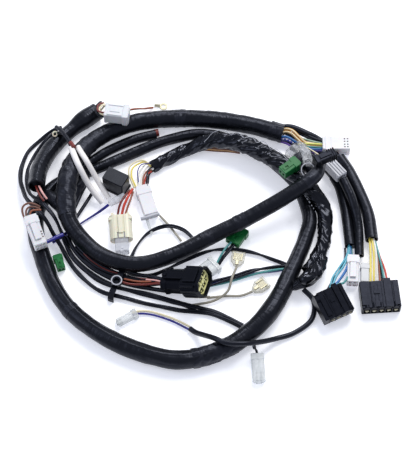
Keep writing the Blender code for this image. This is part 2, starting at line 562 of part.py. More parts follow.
def make_six_way():
    """Hooded housing, stepped and ribbed, round a separate insert with six ways."""
    length, width, height = SIX_WAY_LENGTH, SIX_WAY_WIDTH, SIX_WAY_HEIGHT
    front = -length / 2
    rim = 3.0
    corner = 4.5
    half, top = width / 2, height / 2
    ring = [(-half, -top + corner), (-half + corner, -top), (half - corner, -top), (half, -top + corner),
            (half, top - corner), (half - corner, top), (-half + corner, top), (-half, top - corner)]
    hood = SIX_WAY_HOOD + 4.0
    body = outline("six_way_housing", ring, hood, flat="Y")
    body.data.transform(Matrix.Translation((0, (front + hood / 2) * MM, 0)))
    shrink = 0.82
    inner = [(a * shrink, b * shrink) for a, b in ring]
    rear = length - hood + 1.0
    added = [
        outline("rim", [(a * 1.07, b * 1.07) for a, b in ring], rim, (0, front + rim / 2, 0), "Y"),
        outline("rear body", inner, rear, (0, length / 2 - rear / 2, 0), "Y"),
        block("top panel", (width * 0.5, hood - 4.0, 2.4), (0, front + hood / 2 + 1.0, top + 0.2), EDGE),
        block("latch", (width * 0.26, length * 0.6, 2.2), (0, length * 0.12, top + 0.4), EDGE),
        block("rear collar", (width * shrink + 1.6, 3.0, height * shrink + 1.6), (0, length / 2 - 2.6, 0), EDGE),
    ]
    added += [block("side rib", (width + 1.8, hood * 0.8, 1.2), (0, front + hood * 0.5, z)) for z in (-4.2, 0, 4.2)]
    combine(body, "UNION", added)
    bore = [(a * (1 - SIX_WAY_WALL / half), b * (1 - SIX_WAY_WALL / top)) for a, b in ring]
    cuts = [outline("bore", bore, 2 * SIX_WAY_HOOD, (0, front, 0), "Y")]
    cuts += [block("entry", (3.4, 6.0, 3.4), (x, length / 2, z)) for x in across(3, 5.2) for z in across(2, 5.6)]
    combine(body, "DIFFERENCE", cuts)
    settle(body, PBT_BLACK, SIX_WAY_PLACE, SIX_WAY_TURN, SIX_WAY_TILT)

    depth = SIX_WAY_HOOD - SIX_WAY_RECESS - GAP
    fitted = [(a - math.copysign(GAP, a), b - math.copysign(GAP, b)) for a, b in bore]
    insert = outline("six_way_insert", fitted, depth, flat="Y")
    middle = front + SIX_WAY_RECESS + depth / 2
    insert.data.transform(Matrix.Translation((0, middle * MM, 0)))
    face = front + SIX_WAY_RECESS
    ways = [block("way", (3.4, 2 * 8.0, 3.6), (x, face, z))
            for x in across(3, SIX_WAY_PITCH[0]) for z in across(2, SIX_WAY_PITCH[1])]
    ways += [block("key slot", (1.2, 3.0, 2.2), (x, face, 0)) for x in across(2, SIX_WAY_PITCH[0])]
    combine(insert, "DIFFERENCE", ways)
    settle(insert, INSERT_YELLOW, SIX_WAY_PLACE, SIX_WAY_TURN, SIX_WAY_TILT)


def make_clear_housings():
    """Translucent housings: two barrels under a flat web, with a squared collar."""
    for name, size, at, turn in (
            ("clear_grey_housing", (15.0, 17.0, 8.0), (-0.5, -25.6, 4.4), -50),
            ("clear_two_pin_housing", (8.0, 19.0, 5.6), (-67.6, -71.0, 3.3), -60),
            ("clear_bottom_housing", (11.0, 25.0, 7.4), (40.0, -117.0, 4.1), 3)):
        width, length, height = size
        body = block(name, (width - height * 0.8, length, height * 0.7), edge=EDGE / 2)
        radius = height / 2 - 0.2
        reach = width / 2 - radius
        added = [rod("barrel", radius, length - 2.0, (side * reach, 0, 0), "Y") for side in (-1, 1)]
        added.append(block("collar", (width, length * 0.22, height), (0, length * 0.39, 0), EDGE / 2))
        combine(body, "UNION", added)
        cuts = [rod("way", CLEAR_WAY, 8.0, (side * reach, -length / 2 + 1.0, 0), "Y", 8) for side in (-1, 1)]
        combine(body, "DIFFERENCE", cuts)
        settle(body, CLEAR_VINYL, at, turn)


def make_spade_sleeves():
    """Flattened vinyl sleeves over spade terminals, open at the blade."""
    for name, size, at, turn in (("spade_sleeve_b", (11.5, 13.0, 4.6), (24.3, -15.1, 2.7), 170),
                                 ("spade_sleeve_a", (11.5, 14.5, 4.0), (42.6, -40.5, 2.4), 128)):
        width, length, height = size
        neck = 4.4
        body = outline(name, [(-width / 2, -length / 2), (width / 2, -length / 2), (width / 2, length * 0.12),
                              (neck / 2, length / 2), (-neck / 2, length / 2), (-width / 2, length * 0.12)],
                       height, flat="Z", edge=EDGE)
        mouth = block("mouth", (width - 2.4, 8.0, height - 1.6), (0, -length / 2, 0))
        combine(body, "DIFFERENCE", [mouth])
        settle(body, CLEAR_VINYL, at, turn)


def make_crimp_sleeve():
    body = rod("crimp_sleeve", CRIMP_THICKNESS / 2, CRIMP_LENGTH, along="Y", sides=16)
    bulge = rod("crimp band", CRIMP_THICKNESS / 2 + 0.5, 4.0, (0, -1.0, 0), "Y", 16)
    combine(body, "UNION", [bulge])
    combine(body, "DIFFERENCE", [rod("end bore", CRIMP_THICKNESS / 2 - 1.0, 6.0, (0, CRIMP_LENGTH / 2, 0), "Y", 12)])
    settle(body, CLEAR_VINYL, (-78.4, 40.6, 7.4), -56)


def make_boot():
    """Loose vinyl boot, slumped, wider at its open end."""
    body = rod("clear_boot", BOOT_THICKNESS / 2, BOOT_LENGTH, along="Y", sides=16)
    lip = rod("lip", BOOT_THICKNESS / 2 + 0.6, 2.0, (0, -BOOT_LENGTH / 2 + 1.0, 0), "Y", 16)
    combine(body, "UNION", [lip])
    combine(body, "DIFFERENCE", [rod("mouth", BOOT_THICKNESS / 2 - 1.0, 6.0, (0, -BOOT_LENGTH / 2, 0), "Y", 16)])
    settle(body, CLEAR_VINYL, (76.9, 76.6, 15.2), 31)


def make_tie_clip():
    """A band bent over the leads, with a ring boss that pushes onto a stud."""
    half, rise = CLIP_SPAN / 2, CLIP_RISE
    arch = [(-half, 0), (-half, rise * 0.45), (-half * 0.84, rise), (half * 0.84, rise), (half, rise * 0.45), (half, 0)]
    under = [(-half + CLIP_BAND, 0), (-half + CLIP_BAND, rise * 0.45 - CLIP_BAND * 0.5),
             (-half * 0.84 + CLIP_BAND * 0.4, rise - CLIP_BAND), (half * 0.84 - CLIP_BAND * 0.4, rise - CLIP_BAND),
             (half - CLIP_BAND, rise * 0.45 - CLIP_BAND * 0.5), (half - CLIP_BAND, 0)]
    body = outline("tie_clip", arch + under[::-1], CLIP_WIDTH, flat="X")
    lift = rise + CLIP_RING_HEIGHT / 2 - 0.5
    combine(body, "UNION", [rod("ring", CLIP_RING, CLIP_RING_HEIGHT, (0, 0.0, lift), "Z", 18)])
    combine(body, "DIFFERENCE", [rod("bore", CLIP_BORE, CLIP_RING_HEIGHT, (0, 0.0, lift + 1.0), "Z", 14)])
    settle(body, PBT_BLACK, (-76.3, -40.6, 0.1), -21)


def make_eyelet():
    body = rod("eyelet", EYELET_RADIUS, EYELET_THICKNESS, sides=20)
    barrel = rod("barrel", 1.4, 5.0, (0, EYELET_RADIUS + 2.0, 0.9), "Y", 10)
    tongue = block("tongue", (2.2, 4.0, EYELET_THICKNESS), (0, EYELET_RADIUS, 0))
    combine(body, "UNION", [tongue, barrel])
    hole = rod("hole", EYELET_BORE, 4.0, sides=16)
    combine(body, "DIFFERENCE", [hole])
    settle(body, BARE_BRASS, (-40.3, 141.6, EYELET_THICKNESS / 2), 85)


clear_scene()
HARNESS = new_collection("wiring harness")
CUTTERS = new_collection("cutters")
make_branches()
make_leads()
make_wire_fans()
make_white_blocks()
make_flat_black_housing()
make_grey_ribbed_housing()
make_green_housings()
make_cream_pair()
blade_housing("five_way_housing", 5, FIVE_WAY_PITCH, (141.3, -52.6, 6.2), 4)
blade_housing("four_way_housing", 4, FOUR_WAY_PITCH, (103.3, -60.5, 10.2), 26, tilt=9, lug=True)
make_relay()
make_six_way()
make_clear_housings()
make_spade_sleeves()
make_crimp_sleeve()
make_boot()
make_tie_clip()
make_eyelet()
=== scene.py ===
"""Studio picture of a small motorcycle's wiring harness, laid down in a loose coil.

Routes and places are in millimetres in the coil's own plan, as it lies on the table.
"""
import math

import bmesh
import bpy
from mathutils import Matrix, Vector, noise


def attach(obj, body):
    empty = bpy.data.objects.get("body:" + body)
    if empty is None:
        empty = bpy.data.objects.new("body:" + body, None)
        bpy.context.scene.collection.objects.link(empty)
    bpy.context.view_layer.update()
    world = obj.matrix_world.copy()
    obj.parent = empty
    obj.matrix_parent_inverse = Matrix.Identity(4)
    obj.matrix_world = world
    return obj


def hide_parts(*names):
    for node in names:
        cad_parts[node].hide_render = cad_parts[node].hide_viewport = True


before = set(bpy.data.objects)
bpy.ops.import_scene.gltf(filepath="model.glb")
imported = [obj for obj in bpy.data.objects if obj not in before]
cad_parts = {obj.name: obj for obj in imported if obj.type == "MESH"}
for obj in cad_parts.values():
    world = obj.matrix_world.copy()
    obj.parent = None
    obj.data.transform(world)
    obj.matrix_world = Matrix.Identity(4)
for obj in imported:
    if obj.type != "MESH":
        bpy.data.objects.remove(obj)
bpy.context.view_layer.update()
bpy.ops.object.select_all(action="DESELECT")
scene = bpy.context.scene


# The camera looks down on the coil at 60 degrees from its near side.
# A long lens from 1.4 m keeps the far branches nearly as large as the near ones.
AIM = Vector((0.0043, 0.0042, 0.0))
lens = bpy.data.cameras.new("studio camera")
lens.sensor_fit = "AUTO"
lens.sensor_width = 36.0
lens.lens = 127.24
lens.clip_end = 10.0
camera = bpy.data.objects.new("studio camera", lens)
camera.location = AIM + Vector((0.0, -0.700, 1.2124))
camera.rotation_euler = (AIM - camera.location).to_track_quat("-Z", "Y").to_euler()
scene.collection.objects.link(camera)
scene.camera = camera


# White table top, lit a little from below, in a light tent: a soft key from the upper right,
# a weaker fill from the left, and a narrow lamp that puts the small glints on film and tape.
def linear(code):
    """An sRGB hex colour as linear red, green, blue and alpha."""
    channels = [int(code[i:i + 2], 16) / 255 for i in (1, 3, 5)]
    return (*[c / 12.92 if c <= 0.04045 else ((c + 0.055) / 1.055) ** 2.4 for c in channels], 1.0)


def add(tree, kind, inputs=(), **settings):
    """Adds a node with its settings; an input is a value, or a socket to link from."""
    node = tree.nodes.new(kind)
    for name, value in settings.items():
        setattr(node, name, value)
    for name, value in dict(inputs).items():
        socket = node.inputs[name]
        if isinstance(value, bpy.types.NodeSocket):
            tree.links.new(value, socket)
        else:
            socket.default_value = value
    return node


bpy.ops.mesh.primitive_plane_add(size=4.0, location=(0, 0, 0))
table = bpy.context.object
table.name = "table"
white_board = bpy.data.materials.new("white melamine board")
white_board.use_nodes = True
paint = white_board.node_tree.nodes["Principled BSDF"]
paint.inputs["Base Color"].default_value = linear("#f6f7fa")
paint.inputs["Emission Color"].default_value = linear("#f4f6ff")
paint.inputs["Emission Strength"].default_value = 0.42
paint.inputs["Roughness"].default_value = 0.75
paint.inputs["Specular IOR Level"].default_value = 0.15
table.data.materials.append(white_board)

world = bpy.data.worlds.new("light tent")
world.use_nodes = True
world.node_tree.nodes["Background"].inputs["Color"].default_value = linear("#eef2ff")
world.node_tree.nodes["Background"].inputs["Strength"].default_value = 0.55
scene.world = world
scene.view_settings.view_transform = "Standard"
for lamp_name, place, size, power, tint in (
        ("key lamp", (0.45, 0.85, 1.25), 0.75, 16.0, "#fffdf8"),
        ("fill lamp", (-1.0, -0.1, 1.0), 0.7, 3.0, "#eef3ff"),
        ("glint lamp", (-0.15, 1.1, 0.85), 0.14, 3.4, "#ffffff")):
    lamp = bpy.data.lights.new(lamp_name, "AREA")
    lamp.shape = "SQUARE"
    lamp.size = size
    lamp.energy = power
    lamp.color = linear(tint)[:3]
    holder = bpy.data.objects.new(lamp_name, lamp)
    holder.location = place
    holder.rotation_euler = (AIM - Vector(place)).to_track_quat("-Z", "Y").to_euler()
    scene.collection.objects.link(holder)


# Upper trunk: some twenty wires in a soft PVC sleeve, wound over with black tape.
# It crosses the top of the coil, turns down at the left and comes back above everything else.
MM = 0.001
# Middle of the coil's plan, which the frame has at its origin.
MIDDLE = (-3.3, 7.8)


def spot(x, y, z):
    """A place in the coil's plan as a place in the frame, in metres."""
    return Vector((x - MIDDLE[0], y - MIDDLE[1], z)) * MM


def follow(route, step):
    """Points every step along a smooth line through the route, each with its share of the thickness."""
    line = [Vector(p if len(p) == 4 else (*p, 1.0)) for p in route]
    line = [2 * line[0] - line[1]] + line + [2 * line[-1] - line[-2]]
    points = []
    for p0, p1, p2, p3 in zip(line, line[1:], line[2:], line[3:]):
        t1 = math.sqrt((p1 - p0).xyz.length)
        t2 = t1 + math.sqrt((p2 - p1).xyz.length)
        t3 = t2 + math.sqrt((p3 - p2).xyz.length)
        count = max(1, round((p2 - p1).xyz.length / step))
        for i in range(count):
            t = t1 + (t2 - t1) * i / count
            a1 = p0.lerp(p1, t / t1)
            a2 = p1.lerp(p2, (t - t1) / (t2 - t1))
            a3 = p2.lerp(p3, (t - t2) / (t3 - t2))
            b1 = a1.lerp(a2, t / t2)
            b2 = a2.lerp(a3, (t - t1) / (t3 - t1))
            points.append(b1.lerp(b2, (t - t1) / (t2 - t1)))
    points.append(line[-2])
    return points


def sweep(form, route, thickness, skin=None, sides=12, step=1.5, paint=0, open_end=0.0, flat=1.0,
          drift=None):
    """Adds a tube to a form: its skin gives the radius, as a share, for a run along it and an angle round it.

    The UV map is in millimetres, along the tube and round it. An open end is a wall, as a share of the
    radius, round a short hollow. A drift moves the tube off its route, across and up.
    """
    line = follow(route, step)
    places = [spot(*p.xyz) for p in line]
    uv = form.loops.layers.uv.verify()
    ahead = [(b - a).normalized()
             for a, b in zip([places[0]] + places[:-1], places[1:] + [places[-1]])]
    side = None
    run = 0.0
    rings = []
    for i, (place, point) in enumerate(zip(places, line)):
        level = ahead[i].cross(Vector((0, 0, 1)))
        if level.length > 0.45:
            side = level.normalized()
        else:
            side = side or ahead[i].cross(Vector((0, 1, 0)))
            side = (side - ahead[i] * side.dot(ahead[i])).normalized()
        lift = side.cross(ahead[i])
        if i:
            run += (line[i] - line[i - 1]).xyz.length
        turn = (ahead[min(i + 1, len(ahead) - 1)] - ahead[max(i - 1, 0)]) / max(2 * step * MM, 1e-6)
        radius = thickness / 2 * MM * point.w
        if drift:
            across, up = drift(run)
            place = places[i] = place + (side * across + lift * up) * MM * point.w
        ring = []
        for k in range(sides):
            angle = 2 * math.pi * k / sides
            out = side * math.cos(angle) + lift * math.sin(angle)
            share = skin(run, angle, turn.dot(out) * radius) if skin else 1.0
            ring.append((out * radius * share, place))
        rings.append((run, [form.verts.new(place + Vector((o.x, o.y, o.z * flat))) for o, place in ring], place))
    for (run_a, low, _), (run_b, high, _) in zip(rings, rings[1:]):
        for k in range(sides):
            n = (k + 1) % sides
            face = form.faces.new((low[k], low[n], high[n], high[k]))
            face.material_index = paint
            face.smooth = True
            round_a, round_b = (edge * math.pi * thickness / sides for edge in (k, k + 1))
            corners = ((run_a, round_a), (run_a, round_b), (run_b, round_b), (run_b, round_a))
            for loop, corner in zip(face.loops, corners):
                loop[uv].uv = corner
    for (_, ring, place), way, turned in ((rings[0], ahead[0], True), (rings[-1], -ahead[-1], False)):
        if open_end:
            for share, depth in ((1 - open_end, 0.0), (1.0, 3.0)):
                inner = [form.verts.new(place + (v.co - place) * share + way * depth * MM) for v in ring]
                for k in range(sides):
                    n = (k + 1) % sides
                    corners = (ring[n], ring[k], inner[k], inner[n])
                    face = form.faces.new(corners if turned else corners[::-1])
                    face.material_index = paint
                ring = inner
        face = form.faces.new(ring[::-1] if turned else ring)
        face.material_index = paint
    return [list(spot(*p.xyz)) for p in line]


def finish_piece(form, name, materials, nodes=()):
    """Makes the form a piece of the harness, in place of its plain solids."""
    mesh = bpy.data.meshes.new(name)
    bmesh.ops.recalc_face_normals(form, faces=form.faces)
    form.to_mesh(mesh)
    form.free()
    piece = bpy.data.objects.new(name, mesh)
    scene.collection.objects.link(piece)
    for finish in materials:
        mesh.materials.append(finish)
    mesh.set_sharp_from_angle(angle=math.radians(50))
    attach(piece, "root")
    if nodes:
        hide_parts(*nodes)
    return piece


def grain(tree, scale, detail=2.0, along="Object", spread=(1, 1, 1)):
    """Noise on the piece's own coordinates, in metres, or along its UV map, in millimetres."""
    place = add(tree, "ShaderNodeTexCoord")
    mapped = add(tree, "ShaderNodeMapping", {"Vector": place.outputs[along], "Scale": spread})
    return add(tree, "ShaderNodeTexNoise",
               {"Vector": mapped.outputs["Vector"], "Scale": scale, "Detail": detail})


def plastic(name, dark, light, rough, bump_mm=0.04, bump_scale=900.0, patch_scale=60.0,
            creases_mm=0.0, **extra):
    """Moulded or extruded plastic: two close colours in slow patches, uneven gloss and a fine bump.

    Creases run lengthwise and across on the UV map, for soft sleeves that have been pulled and bent.
    """
    finish = bpy.data.materials.new(name)
    finish.use_nodes = True
    tree = finish.node_tree
    shader = tree.nodes["Principled BSDF"]
    # The Mix node's factor is its input 0, its two colours are 6 and 7, and the mixed colour is output 2.
    patch = grain(tree, patch_scale)
    mix = add(tree, "ShaderNodeMix", {0: patch.outputs["Fac"], 6: linear(dark), 7: linear(light)},
              data_type="RGBA")
    tree.links.new(mix.outputs[2], shader.inputs["Base Color"])
    gloss = add(tree, "ShaderNodeMapRange", {"Value": grain(tree, patch_scale * 3).outputs["Fac"],
                                             "To Min": rough * 0.8, "To Max": rough * 1.2})
    tree.links.new(gloss.outputs["Result"], shader.inputs["Roughness"])
    dent = add(tree, "ShaderNodeBump", {"Height": grain(tree, bump_scale).outputs["Fac"],
                                        "Strength": 0.35, "Distance": bump_mm * MM})
    if creases_mm:
        for spread in ((0.02, 0.16, 1), (0.22, 0.05, 1)):
            crease = grain(tree, 1.0, 2.5, "UV", spread)
            dent = add(tree, "ShaderNodeBump",
                       {"Height": crease.outputs["Fac"], "Strength": 0.8, "Distance": creases_mm * MM,
                        "Normal": dent.outputs["Normal"]})
    tree.links.new(dent.outputs["Normal"], shader.inputs["Normal"])
    for socket, value in extra.items():
        shader.inputs[socket.replace("_", " ")].default_value = value
    return finish


pvc_sleeve = plastic("soft black pvc sleeve", "#08090c", "#0f1116", 0.33, 0.06, 420.0, 45.0, 0.9,
                     Specular_IOR_Level=0.30, Specular_Tint=linear("#d9e0fb"))
pvc_tape = plastic("black pvc tape", "#0b0c11", "#191b22", 0.38, 0.15, 160.0, 60.0, 1.0,
                   Specular_IOR_Level=0.32, Specular_Tint=linear("#d9e0fb"))


def ribbed(value):
    """A ridge between 0 and 1, sharp at its crest."""
    return 1.0 - 2.0 * abs(value)


def drawn(seed, dents=0.045, fold=0.05, creases=0.5):
    """Skin of a soft sleeve: slow dents, a lengthwise fold, and creases inside its bends."""
    def skin(run, angle, bend):
        across = (math.cos(angle), math.sin(angle))
        share = 1.0 + dents * noise.noise(Vector((run / 24 + seed, across[0] * 1.2, across[1] * 1.2)))
        share += 0.4 * dents * noise.noise(Vector((run / 8, across[0] * 2.4 + seed, across[1] * 2.4)))
        middle = 1.9 + 0.5 * noise.noise(Vector((run / 70, seed, 0.0)))
        share += fold * math.exp(-((angle - middle) / 0.14) ** 2)
        if bend > 0:
            wave = ribbed(noise.noise(Vector((run / 2.6, across[0] * 0.8, across[1] * 0.8 + seed))))
            share += creases * bend * (wave - 0.8) * 0.25
        return share
    return skin


def wound(seed, width=15.0, step=0.035, slant=0.35, dents=0.04):
    """Skin of a taped bundle: each turn's edge stands proud of the last one, over slow lumps."""
    def skin(run, angle, bend):
        across = (math.cos(angle), math.sin(angle))
        share = 1.0 + dents * noise.noise(Vector((run / 18 + seed, across[0] * 1.3, across[1] * 1.3)))
        share += 0.012 * noise.noise(Vector((run / 3.0, across[0] * 3 + seed, across[1] * 3)))
        uneven = 2.5 * noise.noise(Vector((run / 30, seed, across[1])))
        turn = ((run + slant * width * across[0] + uneven) / width) % 1
        return share + step * (turn if turn < 0.93 else (1 - turn) / 0.07 * 0.93) - step / 2
    return skin


UPPER_TRUNK = [
    (65, 107.5, 8), (36, 116.5, 8), (3, 122.5, 8), (-34, 123.5, 8), (-67.5, 118.5, 8), (-95, 103.5, 9.5),
    (-113, 80, 15), (-120, 54.5, 20.2), (-121, 32.5, 20), (-117, 13, 17, 0.94), (-104, -4, 13.2, 0.87),
    (-86, -18.5, 12.2, 0.87), (-61.5, -25, 12, 0.87), (-32.5, -17.5, 12, 0.87), (2.5, 1.5, 13, 0.87),
    (31.5, 15.5, 17.5, 0.84), (63.5, 32, 25, 0.84), (82, 43.5, 29.4, 0.81), (91.5, 53.5, 29.5, 0.77),
    (94, 64.5, 27, 0.77)]
taped_skin = wound(3.0)
smooth_skin = drawn(7.0, dents=0.045, fold=0.04, creases=0.4)
# The tape ends a little past the turn at the left; from there on the bare sleeve shows.
TAPED_LENGTH = 262.0
# Where the left branch joins, more turns of tape lie over each other and make it lumpy.
LUMPS_AT = 236.0
LUMPS_REACH = 26.0


def trunk_skin(run, angle, bend):
    """Skin of the upper trunk: taped, then bare, with the lumps at the left branch."""
    share = taped_skin(run, angle, bend) if run < TAPED_LENGTH else smooth_skin(run, angle, bend)
    near = math.exp(-((run - LUMPS_AT) / LUMPS_REACH) ** 2)
    lump = noise.noise(Vector((run / 7, math.cos(angle) * 1.6, math.sin(angle) * 1.6)))
    return share + near * (0.05 + 0.10 * lump)


form = bmesh.new()
path = sweep(form, UPPER_TRUNK, 15.5, trunk_skin, sides=48, step=1.0, open_end=0.16)
upper_trunk = finish_piece(form, "upper_trunk", [pvc_sleeve], ["main_trunk"])


def sleeve(name, node, route, thickness, skin, finish, sides=28, step=1.2,
           open_end=0.16):
    """A sleeved branch along its route, as a cord that takes the place of its plain solid."""
    form = bmesh.new()
    path = sweep(form, route, thickness, skin, sides, step, open_end=open_end)
    piece = finish_piece(form, name, [finish], [node])


# Lower trunk: the loom's other long run, in the same soft PVC sleeve but not taped over.
# It goes round the outside of the coil and carries it on the table.
LOWER_TRUNK = [
    (31, 96, 6, 0.42), (19, 103, 5.4, 0.5), (6.5, 107.5, 5, 0.58), (-11.5, 109, 5, 0.58), (-42.5, 100.5, 5, 0.58),
    (-77, 83.5, 5, 0.58), (-104.5, 70, 5, 0.58), (-126.5, 61, 5.2, 0.58), (-139.5, 45.5, 6.8, 0.76),
    (-147, 26.5, 7.2, 0.84), (-146, 6.5, 7.5, 0.88), (-141, -10.5, 7.5, 0.88), (-130, -40.5, 7.5, 0.88),
    (-116.5, -62.5, 7.5, 0.88), (-99.5, -79.5, 7.8, 0.91), (-63, -101, 8, 0.95), (-21.5, -111, 8, 0.95),
    (16.5, -99, 8, 0.95), (34.5, -85, 8.2, 0.98), (48, -70.5, 8.4), (58, -53.5, 8, 0.95), (66, -36, 7.4, 0.88),
    (74, -16.5, 6.6, 0.8), (81, 2, 6.5, 0.79), (85.5, 20, 6.4, 0.77), (82.5, 38.5, 5.8, 0.7), (76, 55.5, 5.2, 0.61),
    (59, 76, 5.2, 0.61), (40, 91, 5.2, 0.5), (25, 98, 5.2, 0.35)]
sleeve("lower_trunk_sleeve", "lower_trunk", LOWER_TRUNK, 16.4, drawn(1.5, 0.08, 0.07, 0.6), pvc_sleeve, 44)


# Film-wrapped branch: loose black vinyl film drawn over its wires, crumpled in every direction.
# Its facets are sharp and glossy, which gives the white glints along its top.
FILM_BRANCH = [
    (82.3, -29, 7, 0.82), (89.5, -18, 7, 0.86), (96, -4.5, 7, 0.8), (98.5, 15, 7, 0.9), (96.5, 33, 10, 0.95),
    (86, 46.5, 16, 1.0), (68, 65.5, 17.4, 1.05), (46, 82.5, 17.2, 1.1), (23.5, 93.5, 16.6, 1.06),
    (2.5, 97.5, 12, 0.95), (-16.5, 94, 6, 0.82), (-49.5, 75, 5, 0.78)]


def crumpled(seed, depth):
    """Skin of loose film: facets between sharp ridges that run askew, and a raised lip."""
    def skin(run, angle, bend):
        across = (math.cos(angle), math.sin(angle))
        share = 0.98
        slope = run + 7.0 * across[0] + 4.0 * across[1]
        for height, at in ((1.1, (slope / 9.5, across[0] * 0.7 + seed, across[1] * 0.7)),
                           (0.5, (slope / 5 + seed, across[0] * 1.3, across[1] * 1.3)),
                           (0.04, (run / 3.4, across[0] * 3, across[1] * 3 + seed))):
            share += depth * height * ribbed(noise.noise(Vector(at)))
        # The film's free edge lies along the top as a thin raised lip.
        lip = 2.0 + 0.35 * noise.noise(Vector((run / 16, seed, 1.0)))
        share += 0.07 * math.exp(-((angle - lip) / 0.07) ** 2)
        return share - depth * 0.6
    return skin


vinyl_film = plastic("black vinyl film", "#030407", "#07080c", 0.19, 0.04, 130.0, 80.0, 0.14,
                     Specular_IOR_Level=0.34, Specular_Tint=linear("#dfe6ff"))
sleeve("film_sleeve", "film_wrapped_branch", FILM_BRANCH, 13.6, crumpled(2.0, 0.17), vinyl_film, 72, 0.7,
       open_end=0.1)


# Shorter sleeved branches: one at the upper left, one under the upper trunk, three at the right.
# Each is plain PVC tube, cut square, with its wires coming out of the open end.
LEFT_BRANCH = [
    (-98.5, 131.5, 7.8, 1.06), (-110, 122, 7.8, 1.12), (-120, 112.5, 7.3, 0.86), (-136.5, 91.5, 9.5, 0.98),
    (-145, 67.5, 15.5, 1.0), (-146.5, 45.5, 21.5, 0.94)]
MIDDLE_BRANCH = [(-46.5, 109.5, 4.2), (-64, 104.5, 4.2), (-88, 92, 4.2), (-100, 83, 4.4), (-112, 73, 4.8)]
RIGHT_BRANCH = [
    (112.9, 83, 7.2), (117.5, 75.7, 6.6), (121, 69.5, 5.8), (129, 48.5, 5.8), (135.5, 26.5, 5.8), (137.5, 2, 5.8)]
TWIN_BRANCH_A = [(108, 64.3, 6), (112.4, 54.6, 5.4), (115.5, 38.7, 5), (117.6, 19.9, 5), (119, -3.5, 5)]
TWIN_BRANCH_B = [(114.5, 56, 16), (121.5, 39, 13), (126.3, 18.5, 7.5), (126.4, -13.2, 4.8)]
sleeve("left_branch_sleeve", "left_branch_tube", LEFT_BRANCH, 15.0, drawn(4.0, 0.06, 0.06, 0.6),
       pvc_sleeve, 36)
sleeve("middle_branch_sleeve", "middle_branch", MIDDLE_BRANCH, 8.6, drawn(9.0), pvc_sleeve)
sleeve("right_branch_sleeve", "right_branch_tube", RIGHT_BRANCH, 11.0, drawn(5.0, 0.04, 0.03), pvc_sleeve)
sleeve("twin_branch_sleeve_a", "twin_branch_a", TWIN_BRANCH_A, 9.0, drawn(6.0), pvc_sleeve)
sleeve("twin_branch_sleeve_b", "twin_branch_b", TWIN_BRANCH_B, 8.0, drawn(8.0), pvc_sleeve)


# White sleeves: two soft unpigmented PVC tubes that hang from the left branch over the coil's inside.
# Each is slipped over its wires and cut square at both ends.
WHITE_SLEEVE_A = [(-118, 81, 26.6), (-110.5, 62, 27.2), (-101.5, 50, 13), (-91, 39.5, 4)]
WHITE_SLEEVE_B = [(-112.5, 82.5, 25.8), (-104.5, 68.5, 25.4), (-95, 56.5, 12), (-86, 44, 3.8)]
white_pvc = plastic("white pvc sleeve", "#e9e6e5", "#f7f5f4", 0.42, 0.08, 300.0, 90.0)
sleeve("white_sleeve_left", "white_sleeve_a", WHITE_SLEEVE_A, 5.2, drawn(2.2, 0.05, 0.03), white_pvc, 20)
sleeve("white_sleeve_right", "white_sleeve_b", WHITE_SLEEVE_B, 4.8, drawn(3.3, 0.05, 0.03), white_pvc, 20)


# Tape over the sleeves: a few turns of black PVC tape where a branch leaves or a sleeve was slit.
# It lies a little proud of the sleeve, with its loose end pressed down unevenly.
def stretch(route, start, end, step=2.0):
    """The part of a route between two distances along it, in millimetres."""
    run = 0.0
    kept = []
    line = follow(route, step)
    for a, b in zip(line, line[1:]):
        if start <= run <= end:
            kept.append((a.x, a.y, a.z, a.w))
        run += (b - a).xyz.length
    return kept


def taped(seed, depth=0.03, width=9.0):
    """Skin of a short taping: turns that cross at a slant, pulled into small dents."""
    crossing = wound(seed, width, 0.03, 0.5, depth)

    def skin(run, angle, bend):
        across = (math.cos(angle), math.sin(angle))
        dent = noise.noise(Vector((run / 4.5 + seed, across[0] * 2.2, across[1] * 2.2)))
        return crossing(run, angle, bend) + depth * 1.3 * dent
    return skin


form = bmesh.new()
for route, start, end, thickness, seed, depth in (
        (UPPER_TRUNK, 0.0, 13.0, 16.6, 1.0, 0.05), (UPPER_TRUNK, 86.0, 99.0, 15.9, 2.0, 0.02),
        (UPPER_TRUNK, 178.0, 196.0, 16.2, 3.0, 0.03), (UPPER_TRUNK, 206.0, 262.0, 17.0, 4.0, 0.07),
        (UPPER_TRUNK, 396.0, 409.0, 16.0, 5.0, 0.03), (UPPER_TRUNK, 428.0, 441.0, 16.0, 6.0, 0.03),
        (UPPER_TRUNK, 496.0, 512.0, 15.9, 7.0, 0.04), (LOWER_TRUNK, 150.0, 166.0, 17.0, 8.0, 0.04),
        (LOWER_TRUNK, 208.0, 215.0, 17.3, 9.0, 0.02), (LOWER_TRUNK, 308.0, 317.0, 17.0, 10.0, 0.02),
        (LOWER_TRUNK, 424.0, 462.0, 17.2, 11.0, 0.06)):
    sweep(form, stretch(route, start, end), thickness, taped(seed, depth), 44, 0.9)
finish_piece(form, "tape_turns", [pvc_tape])


# Taped knot at the right: the film-wrapped branch leaves the lower trunk here.
# The film is gathered and taped down, and its last turn is rolled into a small round end.
form = bmesh.new()
sweep(form, [
    (68.1, -45, 7.6, 0.4), (74.8, -42, 9, 0.7), (80.6, -38.8, 10, 0.95), (86.6, -33.6, 10), (91.9, -25.9, 9, 0.86),
    (94.8, -15.8, 8, 0.7)
], 12.6, crumpled(12.0, 0.2), 52, 0.6, paint=1, open_end=0.1)
sweep(form, [
    (75.7, -42.4, 15, 0.5), (77.7, -42.3, 16.5, 0.95), (81.8, -41.2, 17), (86.1, -38.3, 16, 0.8)
], 8.6, taped(13.0, 0.05, 2.0), 40, 0.5, paint=1, open_end=0.2)
finish_piece(form, "taped_knot", [pvc_tape, vinyl_film])


